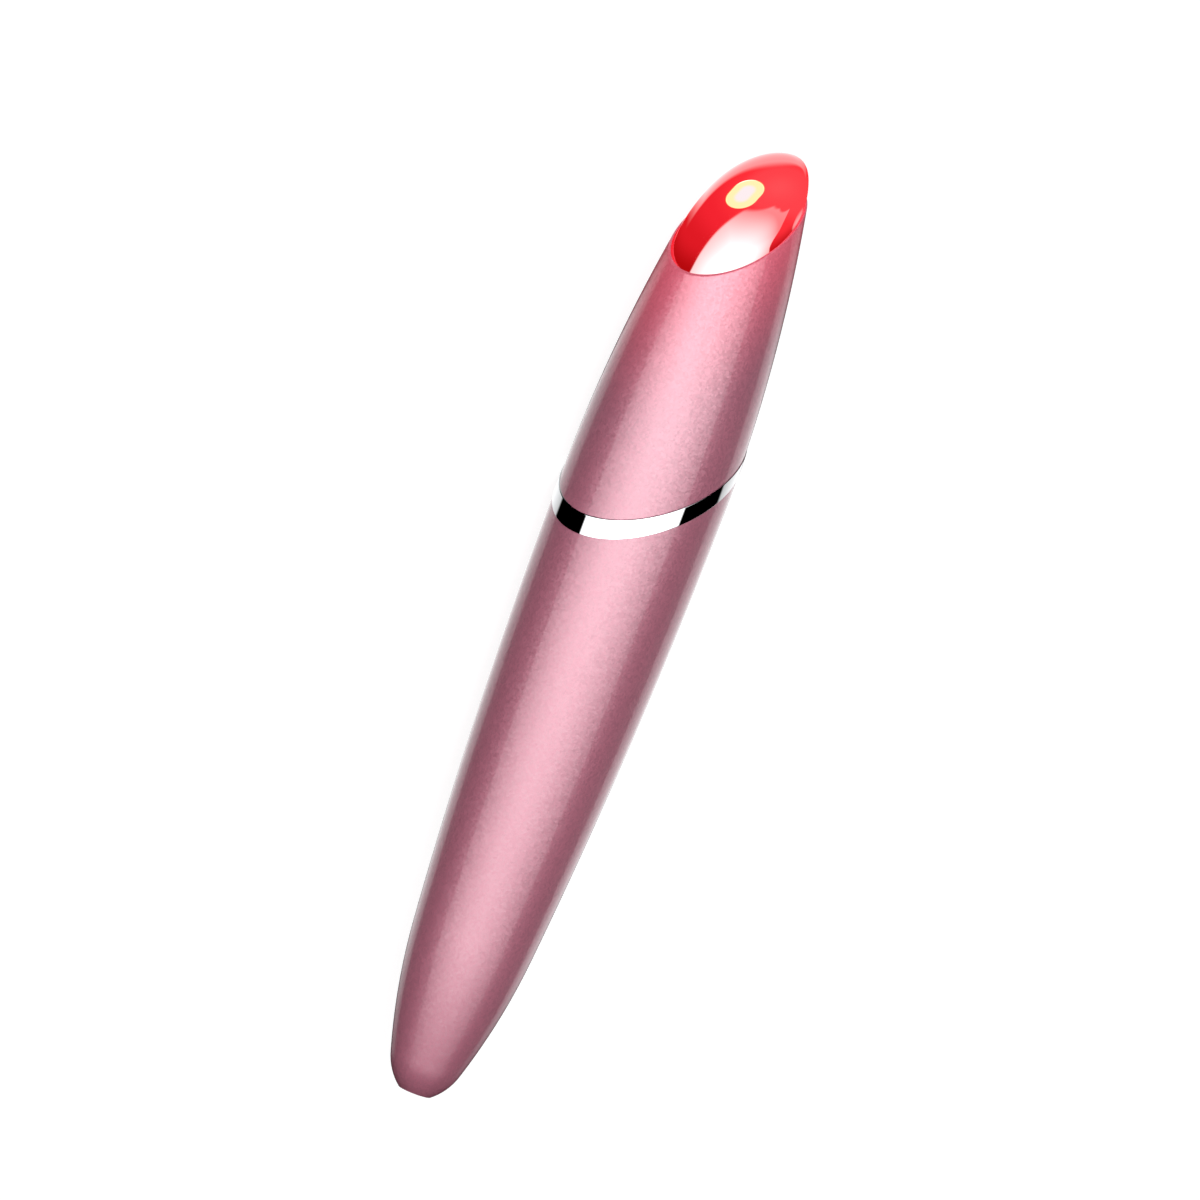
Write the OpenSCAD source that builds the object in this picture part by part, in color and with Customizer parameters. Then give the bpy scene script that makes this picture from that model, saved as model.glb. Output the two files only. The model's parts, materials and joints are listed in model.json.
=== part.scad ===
// Heated eye massager wand: a slim cigar-shaped body in two moulded shells,
// parted by an oblique plated trim ring, with a lit and heated massage head
// set in the slanted lip of the front shell. It lies on its side, tip toward -X,
// the slanted face toward -Y and the push button toward +Y.
// Stations are distances in mm from the tail along the wand.

/* [Outline] */
// Radius of the body at its widest
max_r = 10.9; // [10.2:0.1:13.5]
// Distance from the tail to the widest section
rear_len = 83.9; // [83:0.1:102]
// Distance from the widest section to where the lip crosses the axis
front_len = 38.3; // [36:0.1:48]
// Radius where the lip crosses the axis
lip_r = 7.48; // [7.2:0.02:8.6]
// Radius where the tail starts to close
shoulder_r = 8.16; // [8.05:0.01:9]
// Distance of that point from the tail
shoulder_station = 21.2; // [18:0.1:23]
// Radius where the rounded tail end starts
hip_r = 4.8; // [4.6:0.05:5.4]
// Distance of that point from the tail
hip_station = 3.85; // [3.4:0.05:4.2]
// Radius of the flat around the charging socket
tail_flat_r = 2.2; // [2:0.05:2.6]

/* [Shells] */
// Wall of both shells
wall = 1.4; // [1.15:0.05:1.7]
// Wall of the tail around the socket mouth
tail_wall = 3; // [2.6:0.1:3.6]
// Wall left at the lip outside the head
lip_wall = 0.25; // [0.2:0.05:0.5]
// Thickness of the tube that joins the two shells
spigot_wall = 1; // [0.8:0.1:1.3]
// How far that tube reaches into the front shell
spigot_reach = 5; // [4:0.5:6]
// Radial gap between pieces that push together
push_fit = 0.05; // [0.03:0.01:0.08]

/* [Trim ring] */
// Distance of the ring's middle ahead of the widest section
ring_ahead = 2.8; // [1:0.1:4]
// Thickness of the ring along the wand
ring_len = 2.7; // [2:0.1:4]
// Slant of the ring from square across the wand
ring_tilt = 42; // [36:1:46]
// Height of the ring above the shells
ring_proud = 0.1; // [0:0.05:0.2]
// Gap between the ring and each shell edge
ring_gap = 0.05; // [0.03:0.01:0.1]

/* [Massage head] */
// Slant of the lip and of the massage face
face_tilt = 49; // [44:1:52]
// Height of the face over the lip
face_h = 4.05; // [3.4:0.05:4.6]
// Crown radius of the face
face_crown_r = 45; // [30:1:120]
// How far the crown's top lies up the slope
crown_shift = 5; // [2:0.5:6]
// Sharpness of the rounding between face and sides
edge_power = 9; // [7:0.5:14]
// How far the head's sides swell out above the lip
head_swell = 0.2; // [0:0.05:0.25]
// Wall of the head
head_wall = 1.2; // [1:0.1:1.4]
// Depth of the head's skirt below the lip
skirt_depth = 2.4; // [2:0.1:3]
// Thickness of the silicone gasket under the skirt
gasket_t = 0.6; // [0.4:0.1:0.9]
// Width of the light window across the slope
window_w = 4.3; // [3.6:0.1:5]
// Length of the light window along the slope
window_l = 5.7; // [5:0.1:6.4]
// Width of the window's flange
window_flange = 0.6; // [0.4:0.1:0.8]
// Thickness of the heated plate
heater_t = 0.5; // [0.4:0.1:0.8]
// Thickness of the light board
led_board_t = 0.8; // [0.6:0.1:1]
// Thickness of the head carrier
carrier_t = 2; // [1.6:0.1:2.6]

/* [Button] */
// Distance of the button behind the widest section
button_behind = 1; // [0:0.5:8]
// Width of the button
button_w = 5; // [4.4:0.1:6]
// Length of the button along the wand
button_l = 9; // [8:0.1:10.5]
// How far the button's top lies under the body's surface
button_recess = 0.15; // [0.1:0.05:0.3]
// Gap around the button
button_gap = 0.12; // [0.1:0.01:0.2]
// Travel of the button
button_travel = 0.4; // [0.25:0.05:0.5]

/* [Charging socket] */
// Bore of the socket
socket_r = 1.3; // [1.2:0.05:1.45]
// Depth of the socket from the tail face
socket_depth = 12; // [10:0.5:12.5]
// Radius of the socket's moulded body
jack_r = 2.7; // [2.5:0.05:2.9]
// Length of the socket's moulded body
jack_len = 9.8; // [9.2:0.1:10.4]

/* [Cell and board] */
// Radius of the rechargeable cell
cell_r = 5; // [4.5:0.1:5.2]
// Length of the rechargeable cell
cell_len = 44; // [38:0.5:45]
// Thickness of the circuit board
board_t = 1; // [0.8:0.1:1.2]
// Height of the board's top above the wand's axis
board_top = 2.5; // [2:0.1:3]
// Height of the tact switch
switch_h = 1.8; // [1.4:0.1:2.2]
// How far the switch's plunger stands out
plunger_out = 0.8; // [0.6:0.1:1]

/* [Vibration motor] */
// Radius of the motor can
motor_r = 3; // [2.5:0.1:3.4]
// Length of the motor can
motor_len = 12; // [10:0.5:13]
// Radius of the motor shaft
shaft_r = 0.4; // [0.3:0.05:0.5]
// Radius of the eccentric weight
weight_r = 2.6; // [2.2:0.1:3]
// Length of the eccentric weight
weight_len = 4; // [3:0.5:4.5]
// Gap of the shaft in its bushes
shaft_fit = 0.03; // [0.02:0.01:0.05]

/* [Hidden] */

$fn = 64;
outline_fn = 720;
turn_fn = 144;
far = 400;
eps = 0.01;

// Outline: tangent arcs through the named points, each [centre, radius].
widest_station = rear_len;
lip_station = rear_len + front_len;
widest_pt = [max_r, widest_station];
shoulder_pt = [shoulder_r, shoulder_station];
hip_pt = [hip_r, hip_station];
tail_pt = [tail_flat_r, 0];

function arc_radius(from, inward, to) =
    let (run = to - from) (run * run) / (2 * run * inward);
function unit(v) = v / norm(v);

front_r = arc_radius(widest_pt, [-1, 0], [lip_r, lip_station]);
front_c = widest_pt - [front_r, 0];
rear_r = arc_radius(widest_pt, [-1, 0], shoulder_pt);
rear_c = widest_pt - [rear_r, 0];
shoulder_in = unit(rear_c - shoulder_pt);
tail_r = arc_radius(shoulder_pt, shoulder_in, hip_pt);
tail_c = shoulder_pt + shoulder_in * tail_r;
hip_in = unit(tail_c - hip_pt);
nose_r = arc_radius(hip_pt, hip_in, tail_pt);
nose_c = hip_pt + hip_in * nose_r;

// Each arc serves up to the station where the next one starts.
function shoulder_at(inset) = shoulder_station + shoulder_in[1] * inset;
function hip_at(inset) = hip_station + hip_in[1] * inset;
function arc_r(c, r, s) = c[0] + sqrt(max(0, r * r - (s - c[1]) * (s - c[1])));
function outline_r(s, inset) =
    s > widest_station ? arc_r(front_c, front_r - inset, s)
    : s > shoulder_at(inset) ? arc_r(rear_c, rear_r - inset, s)
    : s > hip_at(inset) ? arc_r(tail_c, tail_r - inset, s)
    : arc_r(nose_c, nose_r - inset, s);

// Oblique planes: heights along the wand where each crosses the axis.
ring_mid = widest_station + ring_ahead;
ring_half = ring_len / 2 * cos(ring_tilt);
ring_rear = ring_mid - ring_len / 2;
ring_front = ring_mid + ring_len / 2;
spigot_end = ring_front + spigot_reach;
spigot_root = 3;
spigot_inset = wall + push_fit;
spigot_bore = spigot_inset + spigot_wall;

// Massage head, in a frame on the lip plane with Z out of the face and Y up the slope.
head_inset = lip_wall + push_fit;
swell_rise = 1.5;
rebate_depth = skirt_depth + gasket_t + push_fit;
carrier_low = rebate_depth + carrier_t;
carrier_from = lip_station - carrier_low / cos(face_tilt) - tan(face_tilt) * max_r;
carrier_to = lip_station - rebate_depth / cos(face_tilt) + tan(face_tilt) * lip_r;
window_lean = asin(crown_shift / face_crown_r);
window_flange_t = 0.6;
flange_seat = -head_wall - 0.2;
heater_top = -head_wall - 0.5;
heater_w = window_w + 2 * window_flange + 1.6;
heater_l = window_l + 2 * window_flange + 2.6;
heater_shift = -1;
thermistor_t = 0.6;
heater_low = face_h + heater_top - heater_t - 1;
board_gap_below = 1;
led_board_top = led_board_t - board_gap_below;
led_board_w = 8;
led_board_l = 13;
led_board_shift = -1.8;
led_chip = [2, 1.6, 0.7];
led_places = [[0, 0], [-2.6, -1.6], [2.6, -1.6], [-2.6, 1], [2.6, 1]];
post_r = 1.1;
post_pin_r = 0.55;
post_pin_out = 0.3;
post_places = [led_board_shift - 5.2, led_board_shift + 5.2];
lead_hole_w = 4.4;
lead_hole_l = 2.4;
lead_hole_up = -1;

// Motor stack, counted back from the carrier.
weight_clear = 1.5;
weight_front = lip_station - carrier_low / cos(face_tilt) - tan(face_tilt) * weight_r - weight_clear;
weight_rear = weight_front - weight_len;
weight_hub_r = 1.1;
shaft_out = 0.5;
press_gap = 0.02;
can_front = weight_rear - 0.8;
can_rear = can_front - motor_len;
can_wall = 0.3;
end_cap_t = 1;
end_cap_plug = 0.5;
magnet_r = 1.9;
magnet_start = 2.2;
bush_r = 0.85;
bush_len = 1.6;
bush_out = 0.4;
coil_out = motor_r - can_wall - 0.28;
coil_in = magnet_r + 0.27;
coil_start = 0.9;
coil_web_t = 0.6;
sleeve_t = 1.1;
sleeve_out = motor_r + push_fit + sleeve_t;
sleeve_len = motor_len - 2;
cup_t = 1.1;
cup_out = sleeve_out + push_fit + cup_t;
cup_len = sleeve_len;

// Chassis stations.
cavity_start = 7;
jack_rear = tail_wall + push_fit + jack_len;
bulkhead_t = 1.3;
tail_bulkhead = jack_rear + 1.4;
tail_notch_y = 2.4;
insulator_t = 0.3;
insulator_r = 4;
tab_t = 0.2;
tab_w = 3;
cell_rear = tail_bulkhead + bulkhead_t + insulator_t + tab_t;
cell_front = cell_rear + cell_len;
cell_nub_h = 0.8;
cell_nub_r = 1.7;
mid_bulkhead = cell_front + tab_t + insulator_t + 0.1;
nose_bulkhead = can_rear - end_cap_t - bulkhead_t;
trough_gap = 0.15;
trough_t = 1.2;
chassis_gap = 0.1;
motor_lead_hole_r = 2;

// Main board, between the two front bulkheads.
board_start = mid_bulkhead + bulkhead_t + 0.3;
board_end = nose_bulkhead - 0.3;
board_len = board_end - board_start;
bore_r_at_board = outline_r(board_end, spigot_bore);
board_half_w = sqrt(pow(bore_r_at_board, 2) - pow(board_top, 2)) - 1.2;
board_low = board_top - board_t;
rail_t = 2.6;
rail_h = 4.5;
rail_x = board_half_w - rail_t / 2 - 0.2;
screw_r = 0.8;
screw_len = 4;
screw_head_r = 1.4;
screw_head_h = 0.8;
screw_in = 2;
screw_places = [for (side = [-1, 1], s = [board_start + screw_in, board_end - screw_in]) [side * rail_x, s]];

// Button, with its own stack counted inward from the body's surface.
button_station = widest_station - button_behind;
button_face_r = outline_r(button_station, 0);
collar_in = button_face_r - wall - 1.4;
collar_w = 1.1;
seal_t = 0.5;
seal_in = collar_in - seal_t;
seal_w = button_w + 2 * button_gap + 2 * collar_w;
seal_l = button_l + 2 * button_gap + 2 * collar_w;
flange_top = seal_in - 0.15;
flange_t = 0.7;
flange_low = flange_top - flange_t;
flange_over = 0.9;
dish_r = 16;
dish_depth = 0.3;
switch_w = 4.5;
switch_floor = 0.5;
plunger_r = 1.15;
plunger_fit = 0.06;
plunger_top = board_top + switch_h + plunger_out;
stem_r = 1;

// Charging socket, lengths from the moulded body's front.
sleeve_r = 1.7;
jack_sleeve_len = 6.4;
contact_t = 0.25;
contact_w = 1;
contact_end = jack_len + 1.2;

// Leads: the ride is their centre's distance from the wand's axis beside the cell.
lead_d = 0.8;
fine_lead_d = 0.55;
lead_sides = 8;
lead_ref = [1, 0.3, 0.1];
lead_ride = cell_r + trough_gap + lead_d / 2 + 0.1;
lead_fan = 30;
lead_spread = lead_ride * sin(lead_fan);
head_lead_ride = 6.4;
head_lead_spread = 1.5;

plated = [0.9, 0.91, 0.93];
pearl_pink = [0.86, 0.55, 0.64];
lit_red = [0.95, 0.12, 0.16];
clear_cream = [1, 0.96, 0.78];
moulded_grey = [0.32, 0.33, 0.35];
board_green = [0.1, 0.38, 0.2];
silicone = [0.88, 0.85, 0.85];

// ---- placing and shared shapes ----

// Puts a shape drawn along +Z, tail at the origin, on its side with its lowest point at Z = 0.
module lay_down() {
    translate([overall_len / 2, 0, max_r + ring_proud]) rotate([0, -90, 0]) children();
}

module at_station(s) {
    translate([0, 0, s]) children();
}

module on_face() {
    at_station(lip_station) rotate([face_tilt, 0, 0]) children();
}

// Draws along +Y from the axis, above the button's station.
module toward_back(y) {
    translate([0, y, button_station]) rotate([-90, 0, 0]) children();
}

module band(low, high) {
    translate([0, low]) square([far, high - low]);
}

module arc_band(c, r, low, high) {
    intersection() {
        translate(c) circle(r = r, $fn = outline_fn);
        band(low, high);
    }
}

// The wand's own form, moved in by inset all round and flat at station start.
module wand_form(inset, start = 0) {
    rotate_extrude($fn = turn_fn) {
        arc_band(front_c, front_r - inset, widest_station, lip_station + 18);
        arc_band(rear_c, rear_r - inset, max(start, shoulder_at(inset)), widest_station);
        if (start < shoulder_at(inset))
            arc_band(tail_c, tail_r - inset, max(start, hip_at(inset)), shoulder_at(inset));
        if (start < hip_at(inset))
            arc_band(nose_c, nose_r - inset, start, hip_at(inset));
    }
}

// Everything on the tail's side of an oblique plane.
module behind(station, tilt) {
    at_station(station) rotate([tilt, 0, 0]) translate([-far / 2, -far / 2, -far])
        cube([far, far, far]);
}

module oblique_slab(station, tilt, low, high) {
    at_station(station) rotate([tilt, 0, 0]) translate([-far / 2, -far / 2, low])
        cube([far, far, high - low]);
}

module stadium(w, l) {
    square([w, l - w], center = true);
    for (side = [-1, 1]) translate([0, side * (l - w) / 2]) circle(d = w);
}

module stadium_block(w, l, h) {
    linear_extrude(h) stadium(w, l);
}

module tube(r_out, r_in, h) {
    difference() {
        cylinder(r = r_out, h = h);
        translate([0, 0, -eps]) cylinder(r = r_in, h = h + 2 * eps);
    }
}

// A lead: flat-ended round wire through its points, mitred at each.
function lead_dir(p, i) =
    unit((i > 0 ? unit(p[i] - p[i - 1]) : [0, 0, 0])
         + (i < len(p) - 1 ? unit(p[i + 1] - p[i]) : [0, 0, 0]));
function lead_ring(p, i, r) =
    let (d = lead_dir(p, i), a = unit(cross(d, lead_ref)), b = cross(d, a))
    [for (k = [0:lead_sides - 1])
        p[i] + r * (cos(k * 360 / lead_sides) * a + sin(k * 360 / lead_sides) * b)];

module lead(p, d) {
    n = len(p);
    m = lead_sides;
    points = [for (i = [0:n - 1]) each lead_ring(p, i, d / 2)];
    skin = [for (i = [0:n - 2], k = [0:m - 1])
        [i * m + k, (i + 1) * m + k, (i + 1) * m + (k + 1) % m, i * m + (k + 1) % m]];
    ends = [[for (k = [0:m - 1]) k], [for (k = [0:m - 1]) n * m - 1 - k]];
    polyhedron(points, concat(skin, ends));
}

// ---- massage head form ----

// A place up the slope and out of the face, as [across the wand, along it].
function tilted(up, out) =
    [up * cos(face_tilt) - out * sin(face_tilt), up * sin(face_tilt) + out * cos(face_tilt)];
function to_wand(v) = concat(v[0], tilted(v[1], v[2]));
head_eye = [0, 0, lip_station] + to_wand([0, 0, -skirt_depth]);

// Distance from the head's centre to the wand's form along u, by halving.
function reach_form(u, inset, low = 0, high = 40, steps = 26) =
    let (mid = (low + high) / 2, p = head_eye + u * mid)
    steps == 0 ? mid
    : norm([p[0], p[1]]) < outline_r(p[2], inset) ? reach_form(u, inset, mid, high, steps - 1)
    : reach_form(u, inset, low, mid, steps - 1);
// Distance from the same centre to the crowned face along v, a direction in the face's frame.
function reach_crown(v, drop) =
    let (r = face_crown_r - drop, to_c = [0, crown_shift, face_h - face_crown_r + skirt_depth],
         along = v * to_c)
    along + sqrt(max(0, along * along - to_c * to_c + r * r));
// The sides follow the wand's form at the lip and swell out over the first swell_rise above it.
function head_point(tilt, turn, inset, drop) =
    let (v = [sin(tilt) * cos(turn), sin(tilt) * sin(turn), cos(tilt)], u = to_wand(v),
         straight = reach_form(u, inset), rise = (straight * v[2] - skirt_depth) / swell_rise,
         side = straight + head_swell * max(0, min(1, rise)), top = reach_crown(v, drop))
    head_eye + u * pow(pow(side, -edge_power) + pow(top, -edge_power), -1 / edge_power);

head_rings = 20;
head_turns = 56;
function head_skin(inset, drop) =
    concat([head_point(0, 0, inset, drop)],
           [for (i = [1:head_rings], k = [0:head_turns - 1])
               head_point(90 * i / head_rings, 360 * k / head_turns, inset, drop)]);
function skin_faces(first, outward) =
    let (at = function (i, k) first + 1 + (i - 1) * head_turns + k % head_turns)
    [for (k = [0:head_turns - 1], i = [0:head_rings - 1])
        let (f = i == 0 ? [first, at(1, k), at(1, k + 1)]
                        : [at(i, k), at(i + 1, k), at(i + 1, k + 1), at(i, k + 1)])
        outward ? [for (j = [len(f) - 1:-1:0]) f[j]] : f];

module head_dome() {
    count = head_rings * head_turns + 1;
    rim = function (first, k) first + 1 + (head_rings - 1) * head_turns + k % head_turns;
    points = concat(head_skin(head_inset, 0), head_skin(head_inset + head_wall, head_wall));
    foot = [for (k = [0:head_turns - 1])
        [rim(0, k), rim(0, k + 1), rim(count, k + 1), rim(count, k)]];
    polyhedron(points, concat(skin_faces(0, true), skin_faces(count, false), foot));
}

// The crown of the head is the wand's tip, so the overall length follows it.
overall_len = max([for (p = head_skin(head_inset, 0)) p[2]]);

// The window's own frame: Z out of the crowned face, Z = 0 on its surface.
module on_window() {
    on_face() translate([0, crown_shift, face_h - face_crown_r]) rotate([window_lean, 0, 0])
        translate([0, 0, face_crown_r]) children();
}

module window_block(extra, low, high) {
    on_window() translate([0, 0, low])
        stadium_block(window_w + 2 * extra, window_l + 2 * extra, high - low);
}

// ---- shells and ring ----

module front_shell() {
    color(pearl_pink) lay_down() difference() {
        intersection() {
            wand_form(0, shoulder_station + 5);
            behind(lip_station, face_tilt);
        }
        behind(ring_front, ring_tilt);
        wand_form(wall, shoulder_station + 4);
        difference() {
            wand_form(lip_wall, shoulder_station + 6);
            behind(lip_station - rebate_depth / cos(face_tilt), face_tilt);
        }
    }
}

module rear_shell() {
    color(pearl_pink) lay_down() difference() {
        union() {
            difference() {
                rear_shell_outside();
                rear_shell_inside();
            }
            button_collar();
        }
        toward_back(0) stadium_block(button_w + 2 * button_gap, button_l + 2 * button_gap, 2 * max_r);
    }
}

module rear_shell_outside() {
    intersection() {
        wand_form(0);
        behind(ring_rear, ring_tilt);
    }
    intersection() {
        wand_form(spigot_inset, shoulder_station + 7);
        behind(spigot_end, ring_tilt);
    }
}

module rear_shell_inside() {
    intersection() {
        wand_form(wall, cavity_start);
        behind(ring_rear - spigot_root, ring_tilt);
    }
    wand_form(spigot_bore, cavity_start + 1);
    at_station(-eps) cylinder(r = socket_r, h = tail_wall + 2 * eps);
    at_station(tail_wall) cylinder(r = jack_r + push_fit, h = cavity_start - tail_wall + 1);
}

// A raised rim inside the shell that guides the button and carries its seal.
module button_collar() {
    intersection() {
        wand_form(wall / 2, shoulder_station + 3);
        toward_back(collar_in) stadium_block(seal_w, seal_l, max_r);
    }
}

module trim_ring() {
    color(plated) lay_down() difference() {
        intersection() {
            wand_form(-ring_proud, shoulder_station + 5);
            oblique_slab(ring_mid, ring_tilt, ring_gap - ring_half, ring_half - ring_gap);
        }
        wand_form(wall, shoulder_station + 4);
    }
}

// ---- massage head ----

module massage_head() {
    color(lit_red) lay_down() difference() {
        head_dome();
        window_block(push_fit, -head_wall - 1, 1);
    }
}

module light_window() {
    color(clear_cream) lay_down() {
        intersection() {
            window_block(0, flange_seat, 1);
            on_window() translate([0, 0, -face_crown_r]) sphere(r = face_crown_r, $fn = turn_fn * 2);
        }
        window_block(window_flange, flange_seat - window_flange_t, flange_seat);
    }
}

module head_gasket() {
    color(silicone) lay_down() difference() {
        intersection() {
            wand_form(head_inset, shoulder_station + 6);
            oblique_slab(lip_station, face_tilt, -rebate_depth, gasket_t - rebate_depth);
        }
        wand_form(wall + chassis_gap, shoulder_station + 5);
    }
}

module head_carrier() {
    color(moulded_grey) lay_down() {
        difference() {
            intersection() {
                at_station(carrier_from) cylinder(r1 = outline_r(carrier_from, wall + push_fit),
                    r2 = outline_r(carrier_to, wall + push_fit), h = carrier_to - carrier_from);
                oblique_slab(lip_station, face_tilt, -carrier_low, -rebate_depth);
            }
            on_face() translate([0, lead_hole_up, -carrier_low - 1])
                rotate([0, 0, 90]) stadium_block(lead_hole_l, lead_hole_w, carrier_t + 2);
        }
        for (y = post_places) on_face() translate([0, y, 0]) {
            translate([0, 0, -rebate_depth - 0.5]) cylinder(r = post_r, h = rebate_depth + 0.5 - board_gap_below);
            translate([0, 0, -rebate_depth]) cylinder(r = post_pin_r, h = rebate_depth + led_board_top + post_pin_out);
        }
    }
}

module heater_plate() {
    color("silver") lay_down() difference() {
        on_window() translate([0, heater_shift, heater_top - heater_t]) stadium_block(heater_w, heater_l, heater_t);
        window_block(window_flange + 0.2, heater_top - 2 * heater_t, heater_top + heater_t);
    }
}

module thermistor() {
    color("black") lay_down() on_window()
        translate([0, heater_shift - heater_l / 2 + 1.2, heater_top - heater_t - thermistor_t / 2])
        cube([1.6, 0.9, thermistor_t], center = true);
}

module led_board() {
    color(board_green) lay_down() on_face() difference() {
        translate([0, led_board_shift, -board_gap_below]) stadium_block(led_board_w, led_board_l, led_board_t);
        for (y = post_places) translate([0, y, -board_gap_below - 1])
            cylinder(r = post_pin_r + push_fit, h = led_board_t + 2);
    }
}

module led_chips() {
    color("white") lay_down() on_face() for (place = led_places)
        translate([place[0] - led_chip[0] / 2, place[1] - led_chip[1] / 2, led_board_top]) cube(led_chip);
}

// ---- vibration motor ----

module motor_can() {
    color("silver") lay_down() at_station(can_rear) difference() {
        cylinder(r = motor_r, h = motor_len);
        translate([0, 0, -eps]) cylinder(r = motor_r - can_wall, h = motor_len - can_wall + eps);
        cylinder(r = bush_r + push_fit, h = motor_len + 1);
    }
}

module motor_end_cap() {
    color("ivory") lay_down() at_station(can_rear) difference() {
        union() {
            translate([0, 0, -end_cap_t]) cylinder(r = motor_r, h = end_cap_t);
            cylinder(r = motor_r - can_wall - push_fit, h = end_cap_plug);
        }
        translate([0, 0, -end_cap_t / 2]) cylinder(r = shaft_r + 0.15, h = end_cap_t + 1);
    }
}

module motor_magnet() {
    color("dimgray") lay_down() at_station(can_rear + magnet_start)
        tube(magnet_r, bush_r + push_fit, motor_len - can_wall - magnet_start);
}

module motor_bushes() {
    color("goldenrod") lay_down() for (s = [can_rear + magnet_start, can_front + bush_out - bush_len])
        at_station(s) tube(bush_r, shaft_r + shaft_fit, bush_len);
}

module motor_sleeve() {
    color("dimgray") lay_down() at_station(can_rear + 0.5)
        tube(sleeve_out, motor_r + push_fit, sleeve_len);
}

module motor_shaft() {
    color("silver") lay_down() at_station(can_rear + 0.2)
        cylinder(r = shaft_r, h = weight_front + shaft_out - can_rear - 0.2);
}

module rotor_coil() {
    color("peru") lay_down() at_station(can_rear + coil_start) {
        tube(coil_out, shaft_r + press_gap, coil_web_t);
        tube(coil_out, coil_in, motor_len - can_wall - coil_start - 0.5);
    }
}

// The heavy side hangs toward -Z, where it comes to rest.
module eccentric_weight() {
    color("gray") lay_down() at_station(weight_rear) difference() {
        union() {
            cylinder(r = weight_hub_r, h = weight_len);
            intersection() {
                cylinder(r = weight_r, h = weight_len);
                translate([-2 * weight_r, -2 * weight_r, 0]) cube([2 * weight_r, 4 * weight_r, weight_len]);
            }
        }
        translate([0, 0, -1]) cylinder(r = shaft_r + press_gap, h = weight_len + 2);
    }
}

// ---- chassis, board and cell ----

module bulkhead(s, inset) {
    intersection() {
        wand_form(inset, cavity_start + 2);
        translate([-far / 2, -far / 2, s]) cube([far, far, bulkhead_t]);
    }
}

// An opening for leads, above y in the bulkhead at station s.
module lead_notch(s, half_w, y) {
    translate([-half_w, y, s - 1]) cube([2 * half_w, max_r, bulkhead_t + 2]);
}

module cell_trough() {
    intersection() {
        difference() {
            wand_form(wall + chassis_gap, cavity_start + 2);
            at_station(tail_bulkhead) cylinder(r = cell_r + trough_gap, h = far);
        }
        translate([-far / 2, -far, tail_bulkhead]) cube([far, far, mid_bulkhead - tail_bulkhead]);
        at_station(tail_bulkhead) cylinder(r = cell_r + trough_gap + trough_t, h = far);
    }
}

module board_rails() {
    for (side = [-1, 1])
        translate([side * rail_x - rail_t / 2, board_low - rail_h, mid_bulkhead])
            cube([rail_t, rail_h, nose_bulkhead - mid_bulkhead + eps]);
}

// A half collar that stops the socket's moulded body from behind.
module jack_stop() {
    intersection() {
        at_station(jack_rear + chassis_gap) tube(jack_r, jack_r - 0.5, tail_bulkhead - jack_rear);
        translate([-far / 2, -far, 0]) cube([far, far, far]);
    }
}

module chassis() {
    color(moulded_grey) lay_down() difference() {
        union() {
            bulkhead(tail_bulkhead, wall + chassis_gap);
            bulkhead(mid_bulkhead, wall + chassis_gap);
            bulkhead(nose_bulkhead, spigot_bore + chassis_gap);
            cell_trough();
            board_rails();
            jack_stop();
            at_station(nose_bulkhead) cylinder(r = cup_out, h = bulkhead_t + end_cap_t + cup_len);
        }
        at_station(nose_bulkhead + bulkhead_t) cylinder(r = sleeve_out + push_fit, h = far);
        at_station(nose_bulkhead - 1) cylinder(r = motor_lead_hole_r, h = bulkhead_t + 2);
        lead_notch(tail_bulkhead, max_r, tail_notch_y);
        lead_notch(mid_bulkhead, lead_spread + lead_d, lead_ride * cos(lead_fan) - lead_d);
        lead_notch(nose_bulkhead, head_lead_spread + lead_d, head_lead_ride - lead_d);
        for (place = screw_places) screw_hole(place, screw_r + press_gap, board_top - screw_len - 0.5);
    }
}

module screw_hole(place, r, low) {
    translate([place[0], low, place[1]]) rotate([-90, 0, 0]) cylinder(r = r, h = max_r);
}

module main_board() {
    color(board_green) lay_down() difference() {
        translate([-board_half_w, board_low, board_start]) cube([2 * board_half_w, board_t, board_len]);
        for (place = screw_places) screw_hole(place, screw_r + push_fit, board_low - 1);
    }
}

module board_screws() {
    color("silver") lay_down() for (place = screw_places)
        translate([place[0], board_top, place[1]]) rotate([-90, 0, 0]) difference() {
            union() {
                translate([0, 0, -screw_len]) cylinder(r = screw_r, h = screw_len + eps);
                cylinder(r = screw_head_r, h = screw_head_h);
            }
            translate([-screw_head_r, -0.2, screw_head_h / 2]) cube([2 * screw_head_r, 0.4, screw_head_h]);
        }
}

// A chip on the board's top, at x across and s along.
module board_chip(x, s, size) {
    translate([x - size[0] / 2, board_top, s - size[2] / 2]) cube(size);
}

module board_components() {
    color("black") lay_down() {
        board_chip(0, board_start + 8, [4, 0.9, 4]);
        board_chip(3.4, board_start + 13, [3, 1.4, 3]);
        board_chip(-3.2, board_start + 13, [1.7, 1.1, 3]);
        for (side = [-1, 1], i = [0:2]) board_chip(side * 4.6, board_start + 5 + 1.8 * i, [0.8, 0.5, 1.4]);
    }
}

module tact_switch() {
    color("dimgray") lay_down() {
        difference() {
            toward_back(board_top) translate([-switch_w / 2, -switch_w / 2, 0])
                cube([switch_w, switch_w, switch_h]);
            toward_back(board_top + switch_floor) cylinder(r = plunger_r + plunger_fit, h = switch_h);
        }
    }
}

module switch_plunger() {
    color("black") lay_down() toward_back(board_top + switch_floor + button_travel + 0.1)
        cylinder(r = plunger_r, h = plunger_top - board_top - switch_floor - button_travel - 0.1);
}

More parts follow.
